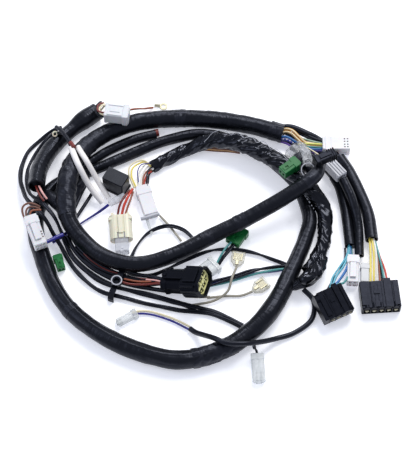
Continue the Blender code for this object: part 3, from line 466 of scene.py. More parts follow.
# Bright line along the film's top edge: a thin pale bead, painted as the glint the edge catches, that runs in and
# out of the folds.
# Near the right only short dashes of that painted glint show.
painted_edge_glint = plastic("film edge painted glint", "#6f737e", "#c9ccd6", 0.3, 0.02, 420.0, 60.0)
form = bmesh.new()
sweep(form, [
    (-4.2, 93.2, 17), (-0.7, 96.6, 18), (2.7, 100.6, 19), (7.1, 102.6, 20), (11.4, 102.6, 21.5), (15.7, 99.9, 22.5),
    (19.1, 96.6, 23.5), (23.5, 98.7, 23.5), (26.9, 96.8, 24), (30.3, 92, 25), (33.7, 93.1, 25), (38, 92, 25),
    (41.4, 87.1, 25.5), (45.7, 88.9, 25), (50, 85.9, 25), (53.3, 80.4, 25.5), (57.6, 80.8, 25), (61.8, 77.5, 24.5),
    (66, 71.9, 24.5), (71, 67.2, 24)
], 0.55, None, 8, 0.7)
DASHED_EDGE_GLINT = [(78.9, 39.4, 22), (83.9, 32.7, 20), (88.9, 25.9, 16.5), (93.1, 19.8, 13.5)]
for start in (0.5, 3.6, 6.7, 9.8, 12.9, 16.0, 19.1):
    sweep(form, stretch(DASHED_EDGE_GLINT, start, start + 2.0, 0.6), 0.6, None, 8, 0.5)
finish_piece(form, "film_edge_glint", [painted_edge_glint])


# Thin leads: single cables and small bundles, each wire with a smooth extruded jacket.
# Two or three lie loosely round each other, so the bundle's outline swells and narrows.
cable_jacket = plastic("extruded black cable jacket", "#06070b", "#0e1017", 0.33, 0.03, 900.0, 70.0,
                       Specular_IOR_Level=0.34, Specular_Tint=linear("#d9e0fb"))


def bundle(name, node, route, thickness, strands, finishes=(cable_jacket,),
           lay=60.0):
    """Loose bundle along a route: each strand has its thickness, its first angle in turns, and its colour."""
    form = bmesh.new()
    for number, (width, angle, paint) in enumerate(strands):
        def drift(run, angle=angle, width=width, number=number):
            turn = angle + run / lay + 0.12 * noise.noise(Vector((run / 25, number, angle)))
            far = max(0.0, (thickness - width) / 2)
            far *= 1 + 0.25 * noise.noise(Vector((run / 18, angle, number)))
            return math.cos(2 * math.pi * turn) * far, math.sin(2 * math.pi * turn) * far
        sweep(form, route, width, None, 10, 1.4, paint, drift=drift)
    piece = finish_piece(form, name, list(finishes), [node])


def insulation(colour_name, dark, light):
    """PVC insulation of one colour, drawn smooth over its copper."""
    return plastic(colour_name + " wire insulation", dark, light, 0.34, 0.02, 1200.0, 150.0)


palette = [cable_jacket] + [insulation(*colours) for colours in (
    ("orange", "#d9a257", "#f2c888"), ("cream", "#dccfa6", "#efe8cd"), ("navy", "#17165c", "#28279a"),
    ("violet", "#4b3180", "#7454ae"), ("blue", "#18528f", "#2f78c2"), ("light blue", "#3f95ad", "#6fbfd2"),
    ("teal", "#2f7f80", "#62aaa9"), ("lime", "#cfcf55", "#ebeb86"), ("sage", "#75907f", "#a3b9aa"),
    ("yellow", "#dcc74e", "#f3e484"), ("white", "#dedcd6", "#f4f3f0"), ("brown", "#80432c", "#a86247"),
    ("red", "#b2301f", "#d94c39"), ("dark red", "#571a16", "#7f2a23"), ("pink", "#d99a96", "#eebdb8"),
    ("warm grey", "#8c877b", "#aaa597"), ("copper brown", "#57332a", "#855c4c"))]
(BLACK, ORANGE, CREAM, NAVY, VIOLET, BLUE, CYAN, TEAL, LIME, SAGE, YELLOW, WHITE, BROWN, RED, MAROON, PINK,
 GREY, COPPER) = range(len(palette))

bundle("outer_cable_a", "outer_lead_a", [
    (-119, 87, 22.5), (-124.5, 98.5, 19), (-134.5, 104.5, 14), (-143.5, 101, 4.5), (-151.5, 89.5, 2.4),
    (-156.5, 76, 2.4), (-156.5, 58, 4.6), (-152, 43, 11.5), (-141, 30.5, 19), (-131, 19, 17.5), (-124.7, 8, 10.5),
    (-120.5, -1, 5), (-115, -11.5, 2.4), (-107, -22.5, 2.4), (-94.5, -33.5, 2.4), (-76.5, -42, 2.4),
    (-57, -46, 2.4), (-35.5, -53.5, 2.4), (-23.8, -57.6, 2.2), (-10.6, -62.3, 2.2)
], 4.0, [(2.7, 0.1, BLACK), (2.4, 0.55, BLACK)], lay=90.0)
bundle("outer_cable_b", "outer_lead_b", [
    (-129.5, 114, 8), (-137, 113.5, 3.5), (-145.5, 107, 2.4), (-157.5, 92, 2.4), (-163, 72.5, 2.8),
    (-156.5, 41, 13), (-142.5, 21, 19.7), (-136, 13.5, 15), (-131, 5.5, 10.5), (-126.2, -1.5, 6.8),
    (-119.3, -13.3, 2.4), (-111.5, -25.5, 2.4), (-99.5, -38.5, 2.4), (-86, -47, 2.4), (-75.5, -50, 2.4),
    (-53, -56.5, 2.4), (-27, -62.5, 2.4), (1, -66.5, 2.4), (22.5, -76, 2.4), (31, -82, 2.2)
], 4.0, [(2.5, 0.0, BLACK), (2.3, 0.4, BLACK), (2.1, 0.72, BLACK)], lay=110.0)
bundle("arch_cable", "arch_lead", [
    (-68, -28.6, 3), (-60, -30.5, 3.4), (-48.5, -31, 3.6), (-35, -24.5, 2.2), (-17.5, -14.5, 2.2), (4.5, -6, 2.2),
    (31.5, -7, 2.2), (57.5, -16.5, 2.2), (67, -21, 2.2)
], 3.6, [(2.1, 0.2, BLACK), (2.0, 0.7, BLACK)], lay=80.0)
bundle("loop_cable", "loop_lead", [
    (-67, -18, 2.4), (-60.3, -1, 2.4), (-50, 12, 2.4), (-34.5, 15.5, 5.8), (-22, 13.5, 3), (-14, 6.5, 2.4)
], 3.8, [(2.0, 0.0, BLACK), (1.9, 0.5, BLACK)], lay=120.0)
sleeve("side_cable", "side_lead", [
    (78.5, -44.8, 5), (86.7, -54, 2.6), (84.8, -71.4, 2.6), (70, -84, 2.6), (55.5, -90, 4.5), (43, -96.3, 11.2),
    (30, -101.5, 18.6), (14.5, -101.5, 19.4), (4, -95.5, 16.4), (-5, -88.5, 8.5), (-11, -83.8, 3.6),
    (-15.5, -80, 2.6)
], 4.4, drawn(11.0, 0.05, 0.03), cable_jacket, 20, open_end=0.0)
bundle("six_way_cable", "six_way_lead", [
    (-111.5, -4.3, 4.3), (-102.5, -16, 4.3), (-89.3, -25.8, 4.3), (-76.5, -32.5, 4.3), (-60.5, -37.5, 4.6),
    (-50, -39.3, 6.6), (-37.9, -40.1, 9.6)
], 7.6,
    [(1.8, 0.24, MAROON), (2.6, 0.36, BLACK), (2.4, 0.62, BLACK), (2.4, 0.83, BLACK), (2.3, 0.02, BLACK),
     (2.6, 0.13, BLACK), (2.6, 0.5, BLACK)],
    palette, lay=400.0)
bundle("two_pin_pair", "two_pin_wires", [
    (-16.2, -79.4, 2.5), (-32, -71, 2.4), (-48.5, -65.5, 2.4), (-58, -65.5, 3), (-62.9, -67.1, 3.4)
], 4.2, [(1.9, 0.04, CREAM), (1.9, 0.54, NAVY)], palette, 900.0)
bundle("coil_pair", "coil_lead", [
    (-4, -40.4, 3.3), (6.5, -37.6, 3.3), (19.5, -33.5, 3.3), (39.5, -27, 3.3), (58.5, -24, 3.3), (68, -23, 2.8, 0.8)
], 6.0, [(2.2, 0.3, BLACK), (2.0, 0.55, NAVY), (2.0, 0.8, TEAL), (2.1, 0.05, BLACK)], palette,
    220.0)
bundle("spade_pair_a", "spade_wire_a", [
    (-1.5, -51, 1.6), (14.5, -49.5, 1.6), (27, -49, 1.6), (36.3, -45.5, 2.2)
], 2.4, [(2.2, 0.0, GREY)], palette)
bundle("spade_pair_b", "spade_wire_b", [
    (-15.5, -58, 1.6), (4.5, -54.5, 2.6), (16, -47, 6), (19.3, -36, 9.4), (23.0, -22.4, 2.6)
], 2.6, [(2.1, 0.0, GREY)], palette)
bundle("blue_wire", "blue_lead", [
    (-85.4, 35.8, 7.3, 0.56), (-88.5, 33.4, 6.4, 0.56), (-92.5, 31.4, 4, 0.56), (-97, 29, 2.2, 0.56),
    (-108, 21, 1.8, 0.56), (-119.5, 11, 2.6, 0.66), (-126, 6.5, 2.9), (-132.5, 2, 2.9)
], 4.4, [(2.7, 0.0, NAVY), (1.9, 0.5, NAVY)], palette, 90.0)
bundle("grey_beige_wire", "grey_wire", [
    (-41.6, 28, 2.2), (-36, 21, 1.8), (-30, 12.5, 1.8), (-23.5, 3, 1.8)
], 2.6, [(2.1, 0.0, GREY)], palette)
bundle("eyelet_tail", "eyelet_wire", [
    (-70.6, 124.5, 20), (-63.1, 129.9, 14), (-56.5, 136.3, 5), (-49.6, 139.8, 1.4)
], 1.9, [(1.9, 0.0, BROWN)], palette)
bundle("bottom_tail", "bottom_wire", [
    (36.6, -99.7, 11), (37.2, -100.6, 8), (38.8, -101.4, 5), (39.2, -103.7, 4.2)
], 3.0, [(1.7, 0.0, BLACK), (1.7, 0.5, BLACK)], palette)


# Bare wires: where a sleeve ends, its wires fan out in their own colours to one housing.
# Each is a single conductor in PVC insulation, about 1.5 to 2 mm thick, drawn as it lies.
def wire_fan(name, nodes, strands):
    """Separate wires as one piece: each strand has its colour, its thickness and its route."""
    form = bmesh.new()
    for paint, thickness, route in strands:
        sweep(form, route, thickness, None, 10, 0.9, paint)
    finish_piece(form, name, palette, nodes)


wire_fan("long_block_fan", ["long_block_wires"], [
    (ORANGE, 2.2, [(60.4, 109.2, 10), (67.4, 110.4, 11.6), (73, 108.4, 12), (78.2, 103.3, 11), (83.8, 98.8, 8.4),
        (90.8, 97.2, 7.6), (99.6, 97.5, 7.2)]),
    (CREAM, 1.0, [(60.4, 108.5, 11), (67.4, 110, 12.6), (73, 107.9, 13), (78.1, 102.9, 12), (83.8, 98.3, 9.4),
        (89, 97, 8.6)]),
    (ORANGE, 2.2, [(60.4, 106.7, 9), (67.4, 108, 10.6), (72.1, 105.9, 11), (77.3, 100.8, 10), (82.9, 96.5, 7.8),
        (90.8, 95.7, 6.8), (99.5, 95.9, 6.4)]),
    (CREAM, 1.0, [(60.4, 106.1, 10), (67.3, 107.5, 11.6), (72.1, 105.5, 12), (77.2, 100.4, 11), (82.9, 96.2, 8.8),
        (88.1, 95.2, 7.8)]),
    (BLACK, 2.4, [(60.5, 112.3, 10), (71, 112.7, 10.2), (80.6, 108.9, 9.6), (90.1, 103.2, 8.8), (99.5, 99.3, 8.4)]),
    (BLACK, 2.2, [(60.6, 111.6, 8), (71.9, 111.2, 8.6), (82.3, 105.7, 8.2), (90.1, 101.8, 7.8), (99.6, 99, 7.2)]),
    (BLACK, 2.2, [(60.6, 108.7, 6), (71.1, 108.3, 6.6), (80.5, 103.1, 7.2), (90, 100.5, 7.4), (99.6, 98.6, 7)]),
    (NAVY, 2.4, [(60.4, 102.2, 8), (69.1, 100.7, 8), (76.9, 95.9, 6.4), (83.8, 92.4, 5.4), (99.5, 91.6, 5)]),
    (VIOLET, 2.2, [(60.4, 101.4, 6), (68.2, 98.8, 5.8), (75.2, 94, 4.6), (83.8, 90.6, 4.2), (99.5, 91.2, 4)]),
    (BLUE, 2.2, [(60.4, 103.8, 8.6), (68.2, 103.5, 9.2), (76, 99, 8), (82.9, 94.6, 6.8), (89.9, 92.9, 6.2),
        (99.5, 93.2, 5.8)]),
    (BLACK, 2.2, [(60.5, 104.5, 6), (69.2, 101.1, 5.6), (77.8, 94.7, 5), (88.2, 92, 4.4), (99.6, 92.2, 3.4)]),
    (LIME, 1.6, [(77.7, 96.2, 8.4), (82.9, 96.7, 9), (89.8, 96.6, 8.8), (99.5, 96.3, 8)]),
    (SAGE, 1.6, [(81.3, 102, 8.8), (86.5, 100.6, 8.8), (92.6, 98.8, 8.4), (99.5, 97.7, 7.8)]),
    (TEAL, 1.5, [(79.4, 94.7, 7.4), (86.4, 94.6, 7.4), (99.5, 94, 6.8)]),
    (CREAM, 1.3, [(78.5, 97.5, 8.8), (84.6, 93.8, 8), (90.5, 89.7, 8), (95.5, 84.3, 10)])])
# Short white dashes along the navy wire, as its marking has them.
MARKED_WIRE = [(62.9, 101.4, 9.3), (69, 100.5, 9.2), (76.8, 95.8, 7.6)]
form = bmesh.new()
for start in (1.2, 4.2, 7.2, 10.2, 13.2):
    sweep(form, stretch(MARKED_WIRE, start, start + 1.7, 0.5), 0.8, None, 8, 0.5)
finish_piece(form, "navy_wire_dashes", [palette[WHITE]])

wire_fan("central_fan", ["central_wires"], [
    (CREAM, 1.6, [(-50.1, 75.4, 7), (-56.2, 79.9, 8), (-63.1, 78.4, 8), (-68.2, 73.8, 8), (-69.2, 67.5, 7.5),
        (-67, 60.9, 6.6), (-63.9, 53.4, 5.6)]),
    (YELLOW, 1.6, [(-50.1, 74.4, 7), (-55.3, 78.9, 7.2), (-61.3, 76.8, 7.2), (-66, 72.4, 7), (-66.7, 65, 6.6),
        (-62.2, 53.4, 5.6)]),
    (BLACK, 1.5, [(-48.3, 74.3, 8), (-52.5, 68.3, 9.4), (-53.1, 58, 9.6), (-51.5, 46.3, 9)]),
    (NAVY, 0.9, [(-50.9, 76.8, 8.8), (-58.6, 74.4, 9.4), (-61.4, 67.4, 9.2), (-60.4, 58, 8)]),
    (WHITE, 1.6, [(-49.2, 74.5, 6), (-54, 77.3, 6.4), (-58.7, 71.2, 6.4), (-61.1, 64.2, 6.2), (-60.5, 53.4, 5.6)]),
    (WHITE, 1.6, [(-49.2, 73.6, 5), (-52.7, 75.4, 5.4), (-56.5, 69.8, 5.4), (-58.1, 62.8, 5.2), (-58.7, 53.7, 5.2)]),
    (BROWN, 1.5, [(-49.2, 72.1, 5), (-53.1, 71.1, 5), (-56, 66, 5), (-57, 53.8, 5)]),
    (RED, 1.4, [(-49.2, 70.9, 4.4), (-52.2, 69.5, 4.2), (-54.7, 64.3, 4.4), (-56.2, 55.1, 4.6)]),
    (BLACK, 1.5, [(-49.3, 73.3, 3), (-52.8, 71.4, 2), (-54, 64.4, 0.9), (-53.6, 55.3, 0.9)]),
    (BLACK, 1.5, [(-48.4, 72.3, 3), (-51.4, 69.9, 2), (-52.4, 61.4, 0.9), (-52, 50.7, 0.9)])])
wire_fan("cream_fan", ["cream_wires"], [
    (RED, 2.3, [(-65.4, 50.6, 8.5), (-69, 41.1, 11), (-72.2, 33.5, 9.6), (-74.3, 25.6, 5.4)]),
    (MAROON, 2.0, [(-67.6, 49.9, 8), (-72.8, 40.7, 10), (-76.1, 33.1, 9.4), (-77.7, 25.6, 5.4)]),
    (BROWN, 1.8, [(-65, 48.6, 7), (-67.3, 38.6, 8.6), (-69.7, 31.2, 7.6), (-71.7, 23.6, 5.4)])])
wire_fan("five_way_fan", ["five_way_wires"], [
    (YELLOW, 1.9, [(135.6, 3.3, 6.6), (135.7, -10.6, 7.2), (135.1, -25.9, 7.2), (134.3, -41.7, 6.6)]),
    (YELLOW, 1.8, [(137.6, 1.9, 7.4), (138.3, -12.9, 8), (137.8, -26.1, 7.6), (137, -41.7, 6.6)]),
    (WHITE, 1.7, [(138.9, 2.1, 7), (140.3, -10.8, 7.6), (140.4, -25.8, 7), (139.7, -41.6, 6.4)]),
    (BROWN, 1.7, [(139.4, 1.7, 6), (141.2, -11.8, 6), (142.2, -25.2, 6), (142.2, -41.3, 6)]),
    (BLACK, 1.8, [(139.4, 1.3, 5), (141.7, -12.9, 4.4), (143.9, -26.5, 4.8), (144.2, -41.3, 6)]),
    (TEAL, 1.8, [(140.2, 0.7, 6), (142.4, -12.4, 7), (144.6, -25.8, 7), (146.3, -41.6, 6.4)]),
    (RED, 1.8, [(140.2, 0.3, 5), (143.6, -14.5, 5.6), (146.8, -26.2, 6), (148.8, -41.6, 6.4)])])
wire_fan("four_way_fan", ["four_way_wires"], [
    (CYAN, 2.0, [(118.3, -0.6, 5), (117.2, -12.4, 7), (112.4, -24.8, 8.6), (105.5, -36.5, 11), (102.3, -46, 12.2),
        (101.4, -49, 12.2)]),
    (BLUE, 2.2, [(119.1, -1.6, 5), (118.4, -14.7, 6), (114.3, -28.5, 8.4), (108.3, -39.3, 11), (104.6, -44.9, 12.2),
        (103.6, -48, 12.2)]),
    (TEAL, 1.9, [(120, -2, 4), (119.7, -17, 5), (116.7, -32, 8), (111.5, -41.9, 10.6), (106.2, -44, 12),
        (105.4, -47, 12)]),
    (CYAN, 1.6, [(118.2, -1.6, 5), (115.5, -14, 6.4), (109, -25.9, 9), (102.5, -37.8, 11.6), (100.1, -47.1, 12.2),
        (99.2, -50, 12.2)]),
    (BLACK, 1.7, [(114.8, -4.7, 3.6), (114.3, -14.9, 4.6), (109.5, -27.7, 7), (103, -38.8, 10), (98.4, -47.9, 12),
        (97.2, -50.5, 12)])])
wire_fan("left_block_fan", ["left_block_wires"], [
    (COPPER, 1.8, [(-142.2, 24.9, 21.5), (-145.9, 26.1, 23.5), (-150.5, 26.9, 24.4), (-154.5, 25.6, 24.4),
        (-156.7, 22.4, 24), (-156.4, 18.2, 22.8), (-154.3, 13, 21)]),
    (COPPER, 1.7, [(-142.2, 23.2, 21), (-146.3, 24.3, 22.4), (-150.5, 24.2, 23), (-153.2, 21.5, 23),
        (-153.6, 17.7, 22), (-152.1, 12.7, 20.6)]),
    (BROWN, 1.6, [(-141.4, 22.6, 20.4), (-145.5, 22, 21.4), (-149.2, 20.8, 21.8), (-150.3, 17.2, 21.2),
        (-149.3, 12.8, 20.4)]),
    (NAVY, 3.4, [(-122.2, 1.3, 16), (-127, -1.7, 17), (-132.6, -5.6, 18), (-137.4, -8.6, 19)])])
wire_fan("top_block_fan", ["top_block_wires"], [
    (MAROON, 1.7, [(-99.5, 130.1, 8), (-96.1, 134.7, 8.8), (-92.8, 136.2, 13), (-93.2, 132.2, 19.6),
        (-96.7, 126.7, 23.6), (-96.5, 121.1, 24.4), (-93.4, 119.2, 24.4), (-88.6, 119.4, 23.6)]),
    (CREAM, 1.7, [(-97.6, 128.8, 9), (-94.2, 132.7, 9.6), (-91.4, 133.9, 14), (-92.3, 130.7, 19.4),
        (-95.3, 125, 22.4), (-94.9, 119.6, 23.2), (-92.1, 117.7, 23), (-88.6, 117.9, 22.4)]),
    (BLACK, 1.8, [(-100.4, 131.6, 8), (-98.3, 135.6, 9.4), (-95, 137.1, 14), (-95.7, 132.6, 20), (-98.8, 125.2, 23),
        (-97.8, 119.5, 22.4), (-94.3, 117.3, 21.4), (-88.7, 117.1, 21)]),
    (BLACK, 1.6, [(-99.5, 129.1, 7), (-97, 132.7, 8), (-95.1, 133.6, 13), (-96.6, 130.1, 18), (-97.3, 122.8, 21),
        (-94.9, 118.2, 20.6), (-88.7, 116.3, 20.4)])])
wire_fan("green_fan", ["green_wires"], [
    (TEAL, 1.9, [(19.6, 0.5, 5.6), (14.9, -5.5, 6.8), (10.6, -12.9, 7), (6.4, -20.9, 5)]),
    (BLACK, 1.9, [(22.1, -1.6, 5), (17, -9.4, 6), (11.9, -16.6, 6), (8.1, -22.6, 4.6)]),
    (BLACK, 1.6, [(20.8, 0.2, 3.6), (15.3, -7.6, 3.6), (10.7, -14.4, 3.8), (6.9, -20.8, 4)])])

# Wires that stand clear of the housings: out of the open end at the left, over the green block at the top right.
wire_fan("left_end_wires", [], [
    (MAROON, 1.8, [(-146.8, 46, 21), (-144.6, 39.4, 22), (-141.8, 34.4, 22), (-139.2, 31.1, 21)]),
    (PINK, 1.8, [(-144.1, 45.4, 22), (-141.6, 39.8, 23), (-139.4, 36.4, 22), (-136.9, 33.4, 20.5)])])
wire_fan("orange_pair", [], [
    (COPPER, 1.8, [(-16.4, 95, 7), (-4.2, 94.5, 6), (7.1, 93.9, 5), (16.7, 93.7, 4), (27.2, 91.9, 3)]),
    (ORANGE, 1.0, [(-16.4, 94.7, 6), (-4.2, 93.9, 5), (8, 93.3, 4), (17.6, 93.1, 3), (27.2, 91.5, 2)]),
    (COPPER, 1.8, [(-16.4, 94.7, 5), (-4.2, 93.5, 4), (8, 92.9, 3), (18.5, 92.9, 2), (27.2, 91.5, 2)])])


# Connector housings: injection-moulded nylon and PBT, each with its maker's latch, ribs and ways.
# PBT is a close dull black; natural nylon is a soft white that lets a little light in.
def moulded(finish, *nodes):
    """Gives plain solids that stay in the picture their moulded finish."""
    for node in nodes:
        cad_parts[node].material_slots[0].material = finish


black_pbt = plastic("moulded black pbt", "#05060a", "#0c0e14", 0.30, 0.25, 260.0, 70.0,
                    Specular_IOR_Level=0.16, Specular_Tint=linear("#d2dbff"))
natural_nylon = plastic("moulded natural nylon", "#cfcfd4", "#e4e4e8", 0.36, 0.04, 600.0, 60.0,
                        Subsurface_Weight=0.12, Subsurface_Scale=0.004)
grey_nylon = plastic("moulded grey nylon", "#a9abb4", "#c6c8d0", 0.4, 0.04, 600.0, 60.0)
# Painted shade: the housing beside the five-way is white nylon lying in shade, drawn greyer in its colour.
shaded_nylon = plastic("white nylon greyed as painted shade", "#b9bbc0", "#d0d2d6", 0.36, 0.04, 600.0, 60.0)
green_nylon = plastic("moulded green nylon", "#0e5228", "#1d7a3e", 0.36, 0.05, 600.0, 70.0, Specular_IOR_Level=0.25)
cream_nylon = plastic("moulded cream nylon", "#d3cfb8", "#e4e1ce", 0.4, 0.05, 600.0, 60.0,
                      Subsurface_Weight=0.1, Subsurface_Scale=0.004)
yellow_insert = plastic("moulded yellow insert", "#e6e38c", "#fbf9c8", 0.42, 0.05, 600.0, 80.0)
moulded(black_pbt, "five_way_housing", "four_way_housing", "relay", "tie_clip")
moulded(natural_nylon, "long_white_housing", "right_white_housing", "central_white_housing", "left_white_housing")
moulded(green_nylon, "upper_green_housing", "left_green_housing", "centre_green_housing")
moulded(grey_nylon, "grey_ribbed_housing")
moulded(shaded_nylon, "shaded_housing")
moulded(cream_nylon, "cream_housing")


# Clear vinyl sleeves, boots and housings: thin and see-through, with a milky edge where it is seen aslant.
# They keep the light grey of the wires and metal inside them.
def see_through(name, dark, light, least, most):
    """Clear plastic, least opaque where it faces the eye and most opaque aslant, with a faint cloud in it."""
    finish = plastic(name, dark, light, 0.14, 0.12, 260.0, 90.0)
    tree = finish.node_tree
    shader = tree.nodes["Principled BSDF"]
    edge = add(tree, "ShaderNodeLayerWeight", {"Blend": 0.42})
    cloud = add(tree, "ShaderNodeMath", {0: edge.outputs["Facing"], 1: grain(tree, 240.0, 3.0).outputs["Fac"]},
                operation="ADD")
    share = add(tree, "ShaderNodeMapRange",
                {"Value": cloud.outputs[0], "From Min": 0.3, "From Max": 1.3, "To Min": least, "To Max": most})
    tree.links.new(share.outputs["Result"], shader.inputs["Alpha"])
    return finish


clear_vinyl = see_through("clear vinyl", "#c4c7cf", "#e6e8ee", 0.30, 0.85)
milky_vinyl = see_through("milky vinyl", "#ccd1d2", "#eef1f1", 0.40, 0.92)
aged_vinyl = see_through("aged clear vinyl", "#8f8b74", "#f0eddc", 0.14, 0.8)
moulded(milky_vinyl, "clear_grey_housing", "clear_two_pin_housing", "clear_bottom_housing")
moulded(clear_vinyl, "crimp_sleeve", "cream_plug")
moulded(aged_vinyl, "spade_sleeve_a", "spade_sleeve_b")


# Ring terminal and blades: tinned brass, stamped from strip and bright on their edges.
# The ring terminal keeps its plain solid and only takes the finish.
tinned_brass = plastic("tinned brass", "#a39d82", "#cfcab2", 0.32, 0.03, 500.0, 120.0, Metallic=0.5)
moulded(tinned_brass, "eyelet")


# Six-way housing: a black PBT hood round a yellow insert with six ways, its rear stepped in for the wires.
# It lies with its mouth lifted, so the insert shows from above.
def slab(size, at, finish, edge=0.0):
    """A block in millimetres, added at its place, with rounded edges."""
    bpy.ops.object.select_all(action="DESELECT")
    bpy.ops.mesh.primitive_cube_add(size=MM)
    piece = bpy.context.object
    piece.data.transform(Matrix.Translation(Vector(at) * MM) @ Matrix.Diagonal((*size, 1.0)))
    piece.data.materials.append(finish)
    return rounded(piece, edge) if edge else piece


def slabs(finish, edge, *blocks):
    """Blocks of one finish, each given by its size and its place."""
    return [slab(size, at, finish, edge) for size, at in blocks]


def rounded(piece, edge):
    """Rounds a piece's sharp edges, by so many millimetres."""
    bevel = piece.modifiers.new("rounded edges", "BEVEL")
    bevel.width = edge * MM
    bevel.segments = 2
    bevel.limit_method = "ANGLE"
    bpy.context.view_layer.objects.active = piece
    bpy.ops.object.modifier_apply(modifier=bevel.name)
    return piece


def shell(corners, profile, finish, edge=0.3):
    """A closed body along Y: the corners' outline, at each distance and share that the profile gives."""
    form = bmesh.new()
    rings = [[form.verts.new(Vector((x * share, y, z * share)) * MM) for x, z in corners]
             for y, share in profile]
    for low, high in zip(rings, rings[1:]):
        for k in range(len(corners)):
            n = (k + 1) % len(corners)
            form.faces.new((low[k], low[n], high[n], high[k]))
    form.faces.new(rings[0])
    form.faces.new(rings[-1])
    bmesh.ops.recalc_face_normals(form, faces=form.faces)
    mesh = bpy.data.meshes.new("shell")
    form.to_mesh(mesh)
    form.free()
    mesh.materials.append(finish)
    piece = bpy.data.objects.new("shell", mesh)
    scene.collection.objects.link(piece)
    return rounded(piece, edge) if edge else piece


def seated(pieces, name, at, turn, tilt=0.0, nodes=()):
    """Joins the pieces into one and lays it in its place, in millimetres and degrees."""
    bpy.ops.object.select_all(action="DESELECT")
    for piece in pieces:
        piece.select_set(True)
    whole = pieces[0]
    bpy.context.view_layer.objects.active = whole
    if len(pieces) > 1:
        bpy.ops.object.join()
    whole.name = name
    whole.data.name = name
    turned = Matrix.Rotation(math.radians(turn), 4, "Z") @ Matrix.Rotation(math.radians(tilt), 4, "X")
    whole.data.transform(Matrix.Translation(spot(*at)) @ turned)
    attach(whole, "root")
    if nodes:
        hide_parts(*nodes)


shadow = plastic("unlit inside of a way", "#0a0b0e", "#1c1e24", 0.6)
HOOD_CORNERS = [(-12, -4.5), (-7.5, -9), (7.5, -9), (12, -4.5), (12, 4.5), (7.5, 9), (-7.5, 9), (-12, 4.5)]
HOOD_PROFILE = [
    (-12.0, 0.84), (-19.0, 0.90), (-19.2, 1.05), (-16.2, 1.07), (-16.0, 1.0), (-1.0, 1.0), (-0.4, 0.84),
    (13.0, 0.82), (13.3, 0.90), (16.3, 0.90), (16.6, 0.80), (19.0, 0.78)]
INSERT_PROFILE = [(-12.4, 0.83), (-16.4, 0.86), (-16.6, 0.76), (-15.0, 0.75)]
parts = [shell(HOOD_CORNERS, HOOD_PROFILE, black_pbt)]
parts += slabs(black_pbt, 0.4, ((12, 12, 2.6), (0, -9.5, 9.4)), ((6.2, 20, 2.6), (0, 6, 8.8)))
parts += slabs(black_pbt, 0.3, ((2.0, 13, 1.6), (-9.4, -8, 7.6)), ((2.0, 13, 1.6), (9.4, -8, 7.6)))
parts += slabs(black_pbt, 0.5, ((3.2, 4, 3.2), (0, 15, 9.6)))
parts += slabs(black_pbt, 0.3, *[((25.0, 12, 1.3), (0, -8, z)) for z in (-4.4, 0, 4.4)])
parts.append(shell(HOOD_CORNERS, INSERT_PROFILE, yellow_insert, 0.15))
# Painted shade: a dark plate behind the insert's ribs stands for the shade deep inside the six ways.
parts += slabs(shadow, 0.3, ((18.2, 2.6, 13.2), (0, -14.1, 0)))
parts += slabs(yellow_insert, 0.2, *[((1.1, 1.7, 13.0), (x, -15.9, 0)) for x in (-3.3, 3.3)],
               ((17.6, 1.7, 1.3), (0, -15.9, 0)))
parts += slabs(yellow_insert, 0.3, ((2.4, 1.0, 2.4), (0, -16.9, 0)))
parts += slabs(yellow_insert, 0.15, *[((1.3, 1.2, 0.7), (x, -15.8, z)) for x in (-6.4, 0, 6.4) for z in (-3.9, 3.7)])
seated(parts, "six_way_connector", (-19.6, -43.0, 15.2), 73, -25, ["six_way_housing", "six_way_insert"])


# Blade housings' mouths: each way has its own scooped lead-in over a tinned brass blade.
# Walls between the ways and a proud scallop over each one are moulded with the housing.
def blade_mouth(name, ways, pitch, at, turn, tilt):
    """The open end of a blade housing, with its ways side by side at one pitch in millimetres."""
    parts = []
    half = (ways - 1) / 2
    for i in range(ways):
        x = (i - half) * pitch
        parts += slabs(tinned_brass, 0.2, ((3.0, 6.0, 1.0), (x, -10.4, 0.9)), ((1.2, 3.0, 2.6), (x, -11.2, -0.6)))
        bpy.ops.mesh.primitive_cylinder_add(vertices=20, radius=pitch * 0.40 * MM, depth=5.0 * MM,
                                            rotation=(math.pi / 2, 0, 0))
        scallop = bpy.context.object
        lying = scallop.matrix_world.to_3x3().to_4x4()
        scallop.data.transform(Matrix.Translation(Vector((x, -10.2, 3.9)) * MM) @ lying)
        scallop.matrix_world = Matrix.Identity(4)
        scallop.data.materials.append(black_pbt)
        parts.append(rounded(scallop, 0.25))
    walls = [((1.0, 3.6, 8.4), ((i - half - 0.5) * pitch, -11.2, 0)) for i in range(ways + 1)]
    ribs = [((0.7, 14.0 + 3.0 * (i % 3), 0.8), ((i + 0.5 - ways) * pitch / 2, 1.5 - (i % 2), 5.7))
            for i in range(ways * 2)]
    parts += slabs(black_pbt, 0.2, *walls, *ribs)
    seated(parts, name, at, turn, tilt)


blade_mouth("five_way_mouth", 5, 6.0, (141.3, -52.6, 6.2), 4, 0)
blade_mouth("four_way_mouth", 4, 5.2, (103.3, -60.5, 10.2), 26, 9)


# Clear boot: thin vinyl crumpled over the green housing's wires, with the ring of its rolled end.
# Only its edges and folds show; they catch the light, and its colour goes in patches from dark grey to near white,
# painted glints and painted shade on the folds.
clear_film_with_painted_glints = see_through("crumpled clear film with painted glints", "#5d6068", "#f4f6fa", 0.0, 0.72)
form = bmesh.new()
sweep(form, [
    (81.4, 90.1, 17), (77.9, 85.2, 16.5, 1.1), (73.5, 81.5, 16, 1.15), (69.1, 77.6, 15.6, 0.9)
], 10.0, crumpled(21.0, 0.42), 40, 0.6)
sweep(form, [(80.3, 87.1, 20, 0.6), (83.3, 76.3, 24, 0.8), (84.4, 64, 29, 0.8)], 8.0, crumpled(23.0, 0.45), 36, 0.6)
finish_piece(form, "clear_film_boot", [clear_film_with_painted_glints], ["clear_boot"])


